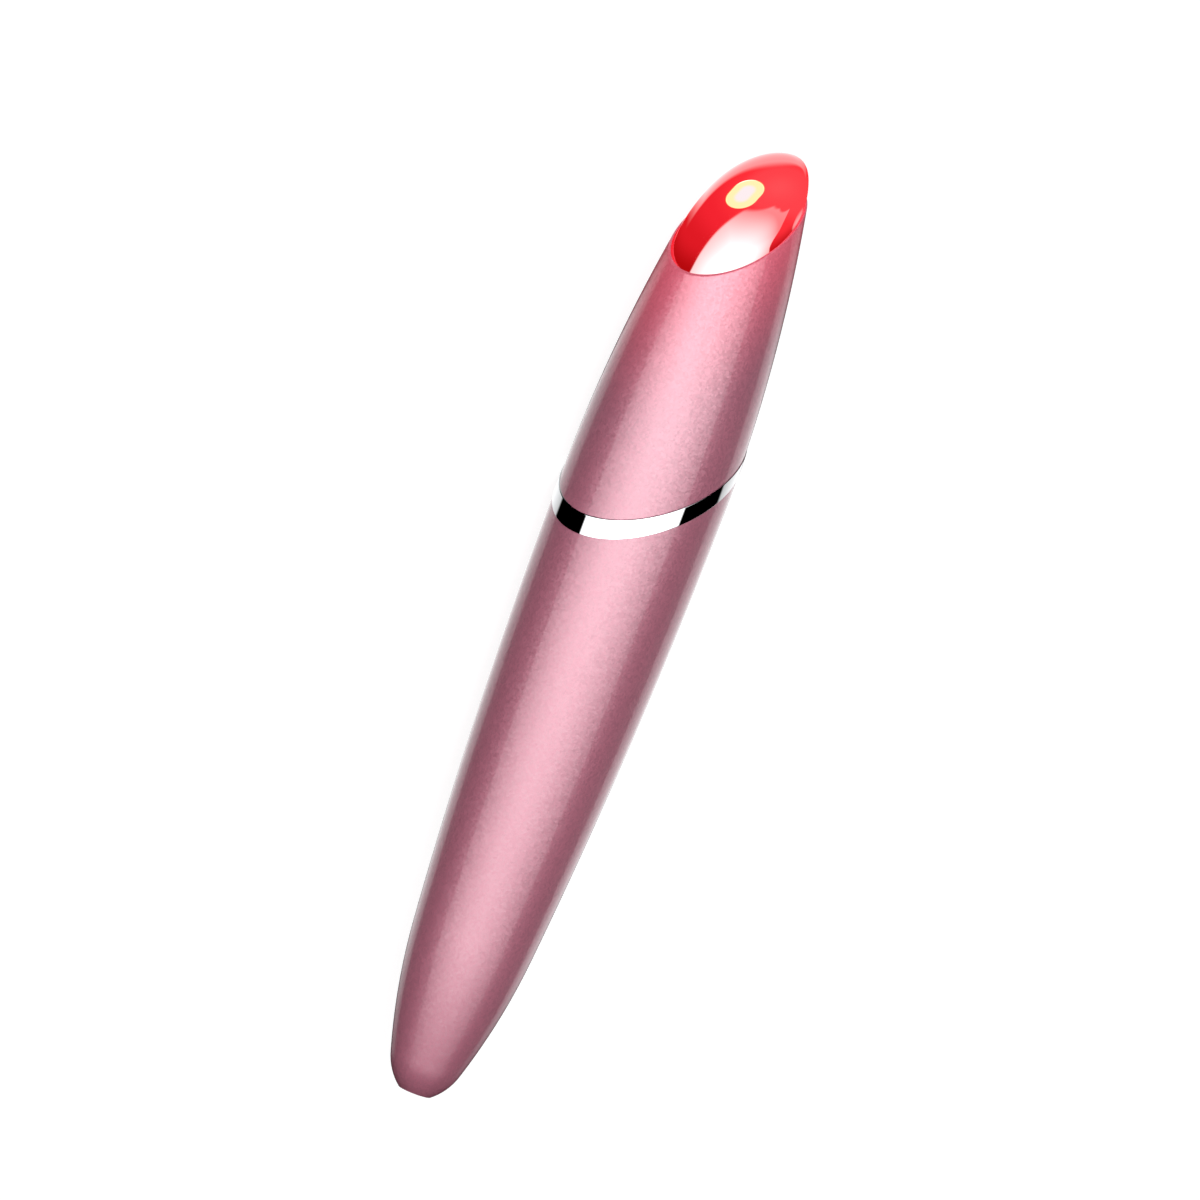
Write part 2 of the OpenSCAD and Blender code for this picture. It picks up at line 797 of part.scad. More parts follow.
module button_cap() {
    color(plated) lay_down() {
        difference() {
            intersection() {
                wand_form(button_recess, shoulder_station + 5);
                toward_back(flange_low) stadium_block(button_w, button_l, max_r);
            }
            toward_back(button_face_r - button_recess + dish_r - dish_depth) sphere(r = dish_r, $fn = turn_fn * 2);
        }
        toward_back(flange_low)
            stadium_block(button_w + 2 * flange_over, button_l + 2 * flange_over, flange_t);
        toward_back(plunger_top) cylinder(r = stem_r, h = flange_low - plunger_top + eps);
    }
}

module button_seal() {
    color(silicone) lay_down() difference() {
        toward_back(seal_in) stadium_block(seal_w, seal_l, seal_t);
        toward_back(seal_in - 1) stadium_block(button_w + 2 * button_gap, button_l + 2 * button_gap, seal_t + 2);
    }
}

module cell() {
    color("royalblue") lay_down() at_station(cell_rear) difference() {
        union() {
            cylinder(r = cell_r, h = cell_len - cell_nub_h);
            cylinder(r = cell_nub_r, h = cell_len);
        }
        translate([0, 0, cell_len - cell_nub_h - 2.4]) tube(cell_r + 1, cell_r - 0.25, 0.7);
    }
}

module cell_insulators() {
    color("white") lay_down() {
        at_station(cell_rear - tab_t - insulator_t) cylinder(r = insulator_r, h = insulator_t);
        at_station(cell_front - cell_nub_h) tube(cell_r - 0.2, cell_nub_r + 0.3, insulator_t);
        at_station(cell_front + tab_t) cylinder(r = insulator_r, h = insulator_t);
    }
}

module cell_tabs() {
    color("silver") lay_down() for (s = [cell_rear - tab_t, cell_front])
        translate([-tab_w / 2, -tab_w / 2, s]) cube([tab_w, tab_w / 2 + cell_r - 0.3, tab_t]);
}

// ---- charging socket ----

module jack_body() {
    color("black") lay_down() at_station(tail_wall + push_fit) difference() {
        cylinder(r = jack_r, h = jack_len);
        translate([0, 0, -eps]) cylinder(r = sleeve_r + push_fit, h = jack_sleeve_len + push_fit);
        translate([0, 0, -eps]) cylinder(r = socket_r, h = socket_depth - tail_wall - push_fit);
        for (side = [-1, 1]) contact_block(side, push_fit);
    }
}

module jack_sleeve() {
    color("goldenrod") lay_down() at_station(tail_wall + push_fit) tube(sleeve_r, socket_r, jack_sleeve_len);
}

// One contact strip beside the bore, measured from the socket body's front.
module contact_block(side, extra) {
    low = side > 0 ? jack_sleeve_len + 0.6 : jack_sleeve_len - 1.2;
    inner = side > 0 ? socket_r + 0.05 : sleeve_r + 0.02;
    translate([side * (inner + contact_t / 2), 0, (low + contact_end) / 2])
        cube([contact_t + 2 * extra, contact_w + 2 * extra, contact_end - low + 2 * extra], center = true);
}

module jack_contacts() {
    color("gold") lay_down() at_station(tail_wall + push_fit) for (side = [-1, 1]) contact_block(side, 0);
}

// ---- leads ----

module cell_leads() {
    color("red") lay_down() {
        lead([[0, cell_r - 0.7, cell_rear - 0.75], [0, cell_r + 0.1, cell_rear - 0.7],
              [0, cell_r + 0.5, cell_rear - 0.1], [0, lead_ride, cell_rear + 2],
              [0, lead_ride, cell_front - 2], [0, lead_ride - 0.2, mid_bulkhead],
              [0, board_top + 1.6, board_start + 0.4], [0, board_top + 0.45, board_start + 2.4]], lead_d);
        lead([[1.3, cell_r - 0.5, mid_bulkhead - 0.05], [1.3, cell_r - 0.4, mid_bulkhead + 0.9],
              [1.3, board_top + 1.5, board_start + 1], [1.3, board_top + 0.45, board_start + 2.6]], lead_d * 0.8);
    }
}

module jack_leads() {
    color("black") lay_down() for (side = [-1, 1]) {
        start = tail_wall + contact_end;
        x = lead_ride * sin(lead_fan);
        y = lead_ride * cos(lead_fan);
        lead([[side * 1.6, contact_w / 2 + 0.35, start - 0.5], [side * 1.7, 2.2, start - 0.4],
              [side * 2.3, 3.9, start - 0.1], [side * (x - 0.2), y - 0.3, tail_bulkhead + 0.9],
              [side * x, y - 0.05, cell_rear + 0.3], [side * x, y, cell_rear + 2],
              [side * x, y, cell_front - 1], [side * x, y - 0.3, mid_bulkhead + 0.5],
              [side * x, board_top + 1.4, board_start + 1], [side * x, board_top + 0.4, board_start + 2.6]],
             fine_lead_d);
    }
}

module motor_leads() {
    color("blue") lay_down() for (side = [-1, 1])
        lead([[side * 1.1, 0.2, can_rear - end_cap_t - 0.1], [side * 1.1, 0, nose_bulkhead - 0.2],
              [side * 1.1, 0.2, board_end - 1.8], [side * 1.1, board_low - 0.35, board_end - 3.4]],
             fine_lead_d);
}

module head_leads() {
    hole_low = [0, lip_station] + tilted(lead_hole_up, -carrier_low - 0.5);
    hole_high = [0, lip_station] + tilted(lead_hole_up, -rebate_depth + 0.3);
    board_at = [0, lip_station] + tilted(lead_hole_up, -board_gap_below - 0.35);
    color("white") lay_down() for (x = [-1.5:1:1.5])
        lead([[x, board_top + 0.4, board_end - 3.5], [x, board_top + 0.8, board_end - 2],
              [x, head_lead_ride - 0.4, nose_bulkhead - 0.6], [x, head_lead_ride, nose_bulkhead + 1],
              [x, head_lead_ride, can_front - 5], [x, head_lead_ride - 0.3, weight_rear],
              [x, hole_low[0] + 2, weight_front + 3], [x, hole_low[0] + 0.8, hole_low[1] - 1],
              [x, hole_low[0], hole_low[1]], [x, hole_high[0], hole_high[1]],
              [x, board_at[0], board_at[1]]], fine_lead_d);
}

module heater_leads() {
    color("white") lay_down() on_face() for (side = [-1, 1])
        lead([[side * 2.4, -4.9, led_board_top + 0.05], [side * 2.8, -4.7, led_board_top + 0.5],
              [side * 2.6, -4.2, heater_low - 0.1]], fine_lead_d);
}

front_shell();
rear_shell();
trim_ring();
massage_head();
light_window();
head_gasket();
head_carrier();
heater_plate();
thermistor();
led_board();
led_chips();
head_leads();
heater_leads();
motor_can();
motor_end_cap();
motor_magnet();
motor_bushes();
motor_sleeve();
motor_shaft();
rotor_coil();
eccentric_weight();
motor_leads();
chassis();
board_screws();
main_board();
board_components();
tact_switch();
switch_plunger();
button_cap();
button_seal();
cell();
cell_insulators();
cell_tabs();
cell_leads();
jack_body();
jack_sleeve();
jack_contacts();
jack_leads();
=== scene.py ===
import json
import math

import bmesh
import bpy
from mathutils import Matrix, Vector


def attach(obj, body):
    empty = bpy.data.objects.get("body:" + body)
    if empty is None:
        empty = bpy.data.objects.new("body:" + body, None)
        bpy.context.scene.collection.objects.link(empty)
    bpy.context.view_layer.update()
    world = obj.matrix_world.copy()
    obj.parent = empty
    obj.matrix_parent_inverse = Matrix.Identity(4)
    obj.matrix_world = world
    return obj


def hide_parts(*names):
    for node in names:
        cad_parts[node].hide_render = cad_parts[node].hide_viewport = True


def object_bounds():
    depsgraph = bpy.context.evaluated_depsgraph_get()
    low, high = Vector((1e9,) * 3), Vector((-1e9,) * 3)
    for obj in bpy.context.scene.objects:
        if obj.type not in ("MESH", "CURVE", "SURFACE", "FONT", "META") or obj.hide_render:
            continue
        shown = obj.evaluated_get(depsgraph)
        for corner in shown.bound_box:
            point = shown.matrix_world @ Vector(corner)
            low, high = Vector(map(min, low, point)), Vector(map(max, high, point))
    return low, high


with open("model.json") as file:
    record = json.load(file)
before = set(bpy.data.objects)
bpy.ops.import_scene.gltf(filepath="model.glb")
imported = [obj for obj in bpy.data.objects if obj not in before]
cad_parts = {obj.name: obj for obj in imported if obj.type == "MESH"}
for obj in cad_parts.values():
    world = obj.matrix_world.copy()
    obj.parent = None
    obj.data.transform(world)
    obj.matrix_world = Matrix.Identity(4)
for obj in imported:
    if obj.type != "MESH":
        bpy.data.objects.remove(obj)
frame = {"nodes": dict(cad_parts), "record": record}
cadLow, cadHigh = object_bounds()
nodes = frame["nodes"]
mm = 0.001
print("frame loaded:", len(nodes), "nodes")

# The wand's own form in mm: stations run from the tail along the axis, radii stand square to it.
wandSet = {
    "widestR": 10.9, "widest": 83.9,
    "lipR": 7.48, "lip": 122.2, "lipTilt": 49,
    "shoulder": (8.16, 21.2), "hip": (4.8, 3.85), "tailFlatR": 2.2,
    "wall": 1.4, "tailWall": 3.0, "cavityStart": 7.0,
    "axisHeight": 11.0, "tailX": cadHigh.x / mm,
}


def arcFrom(start, inward, end):  # the arc that leaves start square to inward and runs through end
    run = Vector(end) - Vector(start)
    radius = run.length_squared / (2 * run.dot(inward))
    return Vector(start) + inward * radius, radius


widestPoint = (wandSet["widestR"], wandSet["widest"])
frontArc = arcFrom(widestPoint, Vector((-1, 0)), (wandSet["lipR"], wandSet["lip"]))
rearArc = arcFrom(widestPoint, Vector((-1, 0)), wandSet["shoulder"])
shoulderIn = (rearArc[0] - Vector(wandSet["shoulder"])).normalized()
tailArc = arcFrom(wandSet["shoulder"], shoulderIn, wandSet["hip"])
hipIn = (tailArc[0] - Vector(wandSet["hip"])).normalized()
noseArc = arcFrom(wandSet["hip"], hipIn, (wandSet["tailFlatR"], 0))
outlineArcs = [  # centre and radius, then the station where each takes over and how inset moves it
    (frontArc, wandSet["widest"], 0),
    (rearArc, wandSet["shoulder"][1], shoulderIn.y),
    (tailArc, wandSet["hip"][1], hipIn.y),
    (noseArc, -99, 0),
]


def arcAt(station, inset):
    for (centre, radius), start, lean in outlineArcs:
        if station > start + lean * inset:
            return centre, radius - inset


def outlineR(station, inset=0.0):
    centre, radius = arcAt(station, inset)
    return centre.x + math.sqrt(max(0, radius ** 2 - (station - centre.y) ** 2))


def toRow(x, y, station):  # wand coordinates in mm to the row frame in metres
    return Vector((wandSet["tailX"] - station, y, x + wandSet["axisHeight"])) * mm


def fromRow(co):
    return co.z / mm - wandSet["axisHeight"], co.y / mm, wandSet["tailX"] - co.x / mm


def skinNormal(co):  # outward normal of the wand's form at a row frame point
    x, y, station = fromRow(co)
    centre, radius = arcAt(station, 0)
    across = Vector((x, y)).normalized()
    out = (outlineR(station) - centre.x) / radius
    return Vector((-(station - centre.y) / radius, across.y * out, across.x * out)).normalized()


def halveTo(isBefore, high, steps):  # halves the stretch from 0 to high until it pins down the crossing
    low = 0.0
    for _ in range(steps):
        mid = (low + high) / 2
        if isBefore(mid):
            low = mid
        else:
            high = mid
    return mid


knownStations = {}


def stationOn(plane, inset, turn):  # where a meridian of the form meets an oblique plane
    start, tilt, off = plane
    key = (plane, inset, round(turn, 6))
    if not tilt:
        return start + off
    if key not in knownStations:
        lean = math.radians(tilt)
        knownStations[key] = halveTo(
            lambda mid: (mid - start) * math.cos(lean) - outlineR(mid, inset) * math.sin(turn) * math.sin(lean) < off,
            140.0, 34)
    return knownStations[key]


def skinRow(inset, low, high=None, share=0.0):  # a row of the form between two planes
    return {"inset": inset, "low": low, "high": high or low, "share": share}


def boreRow(radius, station):
    return {"radius": radius, "low": (station, 0, 0), "high": (station, 0, 0), "share": 0.0}


def skinRows(inset, low, high, count, ends=True):
    first, last = (0, count) if ends else (1, count - 1)
    return [skinRow(inset, low, high, i / count) for i in range(first, last + 1)]


def spinChain(count, turns):  # a closed chain of points spun once round, each vertex knowing its row
    bm = bmesh.new()
    rowOf = bm.verts.layers.int.new("row")
    chain = [bm.verts.new((1, 0, i)) for i in range(count)]
    for i, vert in enumerate(chain):
        vert[rowOf] = i
    links = [bm.edges.new(pair) for pair in zip(chain, chain[1:] + chain[:1])]
    bmesh.ops.spin(bm, geom=chain + links, cent=(0, 0, 0), axis=(0, 0, 1), dvec=(0, 0, 0),
                   angle=2 * math.pi, steps=turns, use_merge=True, use_duplicate=False)
    return bm, rowOf


def softenRims(bm, rowOf, rims, steps=3):  # rounds the edges that run along the given rows
    bmesh.ops.recalc_face_normals(bm, faces=bm.faces)
    for row, size in rims.items():
        rim = [e for e in bm.edges if all(v[rowOf] == row for v in e.verts)]
        bmesh.ops.bevel(bm, geom=rim, offset=size * mm, offset_type="OFFSET", segments=steps, profile=0.5,
                        affect="EDGES", material=-1, clamp_overlap=True)
    if bm.calc_volume(signed=True) < 0:  # a piece with a hole through it can come out facing inward
        bmesh.ops.reverse_faces(bm, faces=bm.faces)
    return bm


def spinRows(rows, turns, rims):  # slides every vertex of the spun chain to its own row of the form
    bm, rowOf = spinChain(len(rows), turns)
    for vert in bm.verts:
        row, turn = rows[vert[rowOf]], math.atan2(vert.co.y, vert.co.x)
        inset = row.get("inset", 0)
        low, high = (stationOn(row[k], inset, turn) for k in ("low", "high"))
        station = low + (high - low) * row["share"]
        radius = row.get("radius") or outlineR(station, inset)
        vert.co = toRow(radius * math.cos(turn), radius * math.sin(turn), station)
    return softenRims(bm, rowOf, rims)


# A stadium outline carried through levels of (outset, height, follows), heights measured from the surface or flat.
def stadiumLoft(width, length, levels, place, surface, steps=72):
    bm = bmesh.new()
    turnOf = bm.verts.layers.float.new("turn")
    ring = bmesh.ops.create_circle(bm, cap_ends=False, segments=steps, radius=1)["verts"]
    for i, vert in enumerate(sorted(ring, key=lambda v: math.atan2(v.co.y, v.co.x))):
        vert[turnOf] = (i + 0.5) * 2 * math.pi / steps
    loop = list(bm.edges)
    for i, (outset, height, follows) in enumerate(levels):
        if i:
            made = bmesh.ops.extrude_edge_only(bm, edges=loop)["geom"]
            ring = [g for g in made if isinstance(g, bmesh.types.BMVert)]
            loop = [g for g in made if isinstance(g, bmesh.types.BMEdge) and all(v in ring for v in g.verts)]
        for vert in ring:
            c, s = math.cos(vert[turnOf]), math.sin(vert[turnOf])
            across = (width / 2 + outset) * c
            along = (width / 2 + outset) * s + math.copysign((length - width) / 2, s)
            vert.co = place(across, along, height + (surface(across, along) if follows else 0))
    rims = [e for e in bm.edges if e.is_boundary]
    bmesh.ops.remove_doubles(bm, verts=bm.verts, dist=0.0004 * mm)
    bmesh.ops.holes_fill(bm, edges=[e for e in rims if e.is_valid and e.is_boundary], sides=0)
    bmesh.ops.recalc_face_normals(bm, faces=bm.faces)
    return bm


smoothAngle = math.radians(40)


def makePiece(name, bm):
    mesh = bpy.data.meshes.new(name)
    bm.to_mesh(mesh)
    bm.free()
    piece = bpy.data.objects.new(name, mesh)
    bpy.context.scene.collection.objects.link(piece)
    mesh.shade_smooth()
    mesh.set_sharp_from_angle(angle=smoothAngle)
    return piece


def carve(piece, bm, how):  # one Boolean step, applied at once
    tool = makePiece("tool", bm)
    step = piece.modifiers.new("carve", "BOOLEAN")
    step.operation, step.solver, step.object = how, "EXACT", tool
    cut = bpy.data.meshes.new_from_object(piece.evaluated_get(bpy.context.evaluated_depsgraph_get()))
    piece.modifiers.clear()
    piece.data = cut
    cut.shade_smooth()
    cut.set_sharp_from_angle(angle=smoothAngle)
    bpy.data.objects.remove(tool)


def trueNormals(piece, normalAt, slack=0.97):  # gives the form's exact normals to every corner that lies on it
    mesh = piece.data
    corners = [Vector(c.vector) for c in mesh.corner_normals]
    for face in mesh.polygons:
        for loop in face.loop_indices:
            exact = normalAt(mesh.vertices[mesh.loops[loop].vertex_index].co)
            if exact is not None and exact.dot(face.normal) > slack:
                corners[loop] = exact
    mesh.normals_split_custom_set(corners)


def riseAt(co):  # height over the wand's form, in mm
    x, y, station = fromRow(co)
    return math.hypot(x, y) - outlineR(station)


def addPiece(piece, body, slotName, material, *stands):
    piece.data.materials.clear()
    piece.data.materials.append(material)
    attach(piece, body)
    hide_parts(*stands)
    print("piece made:", piece.name, len(piece.data.polygons), "faces")


# Materials: colours are sRGB hex values, pattern sizes are real ones in mm.
def toLinear(hexColour, alpha=1.0):
    parts = [int(hexColour[i:i + 2], 16) / 255 for i in (1, 3, 5)]
    return [p / 12.92 if p <= 0.04045 else ((p + 0.055) / 1.055) ** 2.4 for p in parts] + [alpha]


def addNode(tree, kind, settings=None, links=None):
    node = tree.nodes.new(kind)
    for key, value in (settings or {}).items():
        if isinstance(key, str) and hasattr(node, key):
            setattr(node, key, value)
        else:
            node.inputs[key].default_value = value
    for key, source in (links or {}).items():
        tree.links.new(source if isinstance(source, bpy.types.NodeSocket) else source.outputs[0], node.inputs[key])
    return node


def newMaterial(name):
    material = bpy.data.materials.new(name)
    material.use_nodes = True
    tree = material.node_tree
    tree.nodes.clear()
    shader = addNode(tree, "ShaderNodeBsdfPrincipled")
    addNode(tree, "ShaderNodeOutputMaterial", None, {"Surface": shader})
    return material, tree, shader, addNode(tree, "ShaderNodeTexCoord").outputs["Object"]


def setShader(shader, **values):
    for key, value in values.items():
        shader.inputs[key.replace("_", " ")].default_value = value


# Pearl lacquer over moulded ABS: a tinted base coat full of mica flakes, then clear coat. The flakes give the
# satin glow and a fine grain (drawn at twice their real size), the clear coat the crisp edge of the soft box.
pearlSet = {
    "darkFlake": "#B66B80", "lightFlake": "#CA788F", "metallic": 0.12, "ior": 2.2, "roughness": (0.38, 0.46),
    "coatRoughness": 0.04, "flakeSize": 0.28, "flakeTilt": 0.12,
    # painted red glow near the lip: its colour, reach and falloff
    "glowColour": "#9E1826", "glowReach": 12.5, "glowFall": 1.4,
}


def pearlLacquer(name, glowing):
    material, tree, shader, place = newMaterial(name)
    setShader(shader, Metallic=pearlSet["metallic"], IOR=pearlSet["ior"], Coat_Weight=1.0,
              Coat_Roughness=pearlSet["coatRoughness"])
    flakes = addNode(tree, "ShaderNodeTexVoronoi", {"Scale": 1 / (pearlSet["flakeSize"] * mm)}, {"Vector": place})
    shine = addNode(tree, "ShaderNodeSeparateColor", None, {0: flakes.outputs["Color"]})
    tone = addNode(tree, "ShaderNodeMix", {"data_type": "RGBA", 6: toLinear(pearlSet["darkFlake"]),
                   7: toLinear(pearlSet["lightFlake"])}, {0: shine.outputs[0]})
    tree.links.new(tone.outputs[2], shader.inputs["Base Color"])
    low, high = pearlSet["roughness"]
    satin = addNode(tree, "ShaderNodeMapRange", {"To Min": low, "To Max": high}, {"Value": shine.outputs[1]})
    tree.links.new(satin.outputs[0], shader.inputs["Roughness"])
    tilt = pearlSet["flakeTilt"]
    lean = addNode(tree, "ShaderNodeVectorMath", {"operation": "MULTIPLY_ADD", 1: [tilt] * 3, 2: [-tilt / 2] * 3},
                   {0: flakes.outputs["Color"]})
    leant = addNode(tree, "ShaderNodeVectorMath", {"operation": "ADD"},
                    {0: lean, 1: addNode(tree, "ShaderNodeNewGeometry").outputs["Normal"]})
    tree.links.new(addNode(tree, "ShaderNodeVectorMath", {"operation": "NORMALIZE"}, {0: leant}).outputs[0],
                   shader.inputs["Normal"])
    if glowing:  # painted glow: a red emission, strongest at the lip and fading away from it, stands in for the head's red light showing through the thin end of the shell
        out = addNode(tree, "ShaderNodeVectorMath", {"operation": "DOT_PRODUCT", 1: list(faceOut)}, {0: place})
        lip = lipPoint.dot(faceOut)
        near = addNode(tree, "ShaderNodeMapRange", {"From Min": lip - pearlSet["glowReach"] * mm, "From Max": lip},
                       {"Value": out.outputs["Value"]})
        fall = addNode(tree, "ShaderNodeMath", {"operation": "POWER", 1: pearlSet["glowFall"]}, {0: near})
        glow = addNode(tree, "ShaderNodeMix", {"data_type": "RGBA", 6: (0, 0, 0, 1),
                       7: toLinear(pearlSet["glowColour"])}, {0: fall})
        tree.links.new(glow.outputs[2], shader.inputs["Emission Color"])
        setShader(shader, Emission_Strength=1.0)
    return material


# Chrome plated ABS: nickel and chrome over polished plastic, a full mirror with faint waves from moulding.
chromeSet = {"colour": "#F3F4F6", "roughness": 0.02, "waveSize": 7.0, "waveHeight": 0.0004}


def chromePlate(name):
    material, tree, shader, place = newMaterial(name)
    setShader(shader, Metallic=1.0, Base_Color=toLinear(chromeSet["colour"]), Roughness=chromeSet["roughness"])
    waves = addNode(tree, "ShaderNodeTexNoise", {"Scale": 1 / (chromeSet["waveSize"] * mm), "Detail": 1.0},
                    {"Vector": place})
    bump = addNode(tree, "ShaderNodeBump", {"Distance": chromeSet["waveHeight"] * mm}, {"Height": waves})
    tree.links.new(bump.outputs[0], shader.inputs["Normal"])
    return material


def windowEdge(tree, place):  # distance from the window's outline, in metres, negative inside it
    offset = addNode(tree, "ShaderNodeVectorMath", {"operation": "SUBTRACT", 1: list(windowPoint)}, {0: place})
    sides = []
    for direction in (windowAcross, windowAlong):
        dot = addNode(tree, "ShaderNodeVectorMath", {"operation": "DOT_PRODUCT", 1: list(direction)}, {0: offset})
        sides.append(addNode(tree, "ShaderNodeMath", {"operation": "ABSOLUTE"}, {0: dot.outputs["Value"]}))
    straight = (headSize["windowLength"] - headSize["windowWidth"]) / 2 * mm
    past = addNode(tree, "ShaderNodeMath", {"operation": "SUBTRACT", 1: straight, "use_clamp": True}, {0: sides[1]})
    corner = addNode(tree, "ShaderNodeCombineXYZ", None, {0: sides[0], 1: past})
    reach = addNode(tree, "ShaderNodeVectorMath", {"operation": "LENGTH"}, {0: corner})
    return addNode(tree, "ShaderNodeMath", {"operation": "SUBTRACT", 1: headSize["windowWidth"] / 2 * mm},
                   {0: reach.outputs["Value"]})


# Metallised polycarbonate: a thin aluminium film mirrors part of the light. The red chips' light through it is painted
# glow, an emission brightest round one point of the crown and darker outward, with painted shade at the foot and a
# painted warm halo round the window.
glowSet = {
    "film": 0.58, "roughness": 0.04, "centre": (3.4, 3.0, 3.6), "reach": 13.0,
    "tones": ((0.0, "#FF4F55"), (0.28, "#FF434B"), (0.45, "#FF2F39"), (0.72, "#F42430"), (1.0, "#E01A24")),
    "footShade": "#B5090D", "footShadeReach": 1.4, "halo": "#FFE58E", "haloReach": 0.2,
}


def halfMirror(name):
    material, tree, shader, place = newMaterial(name)
    setShader(shader, Metallic=1.0, Base_Color=[glowSet["film"]] * 3 + [1], Roughness=glowSet["roughness"],
              Emission_Strength=1.0)
    away = addNode(tree, "ShaderNodeVectorMath", {"operation": "DISTANCE", 1: list(faceToRow(*glowSet["centre"]))},
                   {0: place})
    share = addNode(tree, "ShaderNodeMath", {"operation": "MULTIPLY", 1: 1 / (glowSet["reach"] * mm)},
                    {0: away.outputs["Value"]})
    spread = addNode(tree, "ShaderNodeValToRGB", None, {0: share})
    spread.color_ramp.interpolation = "EASE"
    for i, (where, tone) in enumerate(glowSet["tones"]):
        stop = spread.color_ramp.elements[i] if i < 2 else spread.color_ramp.elements.new(where)
        stop.position, stop.color = where, toLinear(tone)
    # painted shade: the glow darkens to the foot colour toward the lip
    out = addNode(tree, "ShaderNodeVectorMath", {"operation": "DOT_PRODUCT", 1: list(faceOut)}, {0: place})
    foot = addNode(tree, "ShaderNodeMapRange", {
        "interpolation_type": "SMOOTHSTEP", "From Min": lipPoint.dot(faceOut) - 0.5 * mm,
        "From Max": lipPoint.dot(faceOut) + glowSet["footShadeReach"] * mm}, {"Value": out.outputs["Value"]})
    lit = addNode(tree, "ShaderNodeMix", {"data_type": "RGBA", 6: toLinear(glowSet["footShade"])},
                  {0: foot, 7: spread.outputs[0]})
    # painted warm halo of light on the head round the window
    halo = addNode(tree, "ShaderNodeMapRange", {
        "interpolation_type": "SMOOTHSTEP", "From Min": glowSet["haloReach"] * mm, "From Max": -0.1 * mm},
        {"Value": windowEdge(tree, place)})
    warm = addNode(tree, "ShaderNodeMix", {"data_type": "RGBA", 7: toLinear(glowSet["halo"])},
                   {0: halo, 6: lit.outputs[2]})
    tree.links.new(warm.outputs[2], shader.inputs["Emission Color"])
    return material


# Clear polycarbonate light guide, lit from behind, with that light painted as emission: a painted glow, creamy at the
# rim, cooler in the middle.
guideSet = {"core": "#FDEEF1", "rim": "#FFF3B4", "rimFrom": -1.45, "rimTo": -0.75, "surface": "#1C1A16"}


def litWindow(name):
    material, tree, shader, place = newMaterial(name)
    setShader(shader, Roughness=0.12, IOR=1.15, Base_Color=toLinear(guideSet["surface"]), Emission_Strength=1.0)
    rim = addNode(tree, "ShaderNodeMapRange", {
        "interpolation_type": "SMOOTHSTEP", "From Min": guideSet["rimFrom"] * mm, "From Max": guideSet["rimTo"] * mm},
        {"Value": windowEdge(tree, place)})
    glow = addNode(tree, "ShaderNodeMix", {"data_type": "RGBA", 6: toLinear(guideSet["core"]),
                   7: toLinear(guideSet["rim"])}, {0: rim})
    tree.links.new(glow.outputs[2], shader.inputs["Emission Color"])
    return material


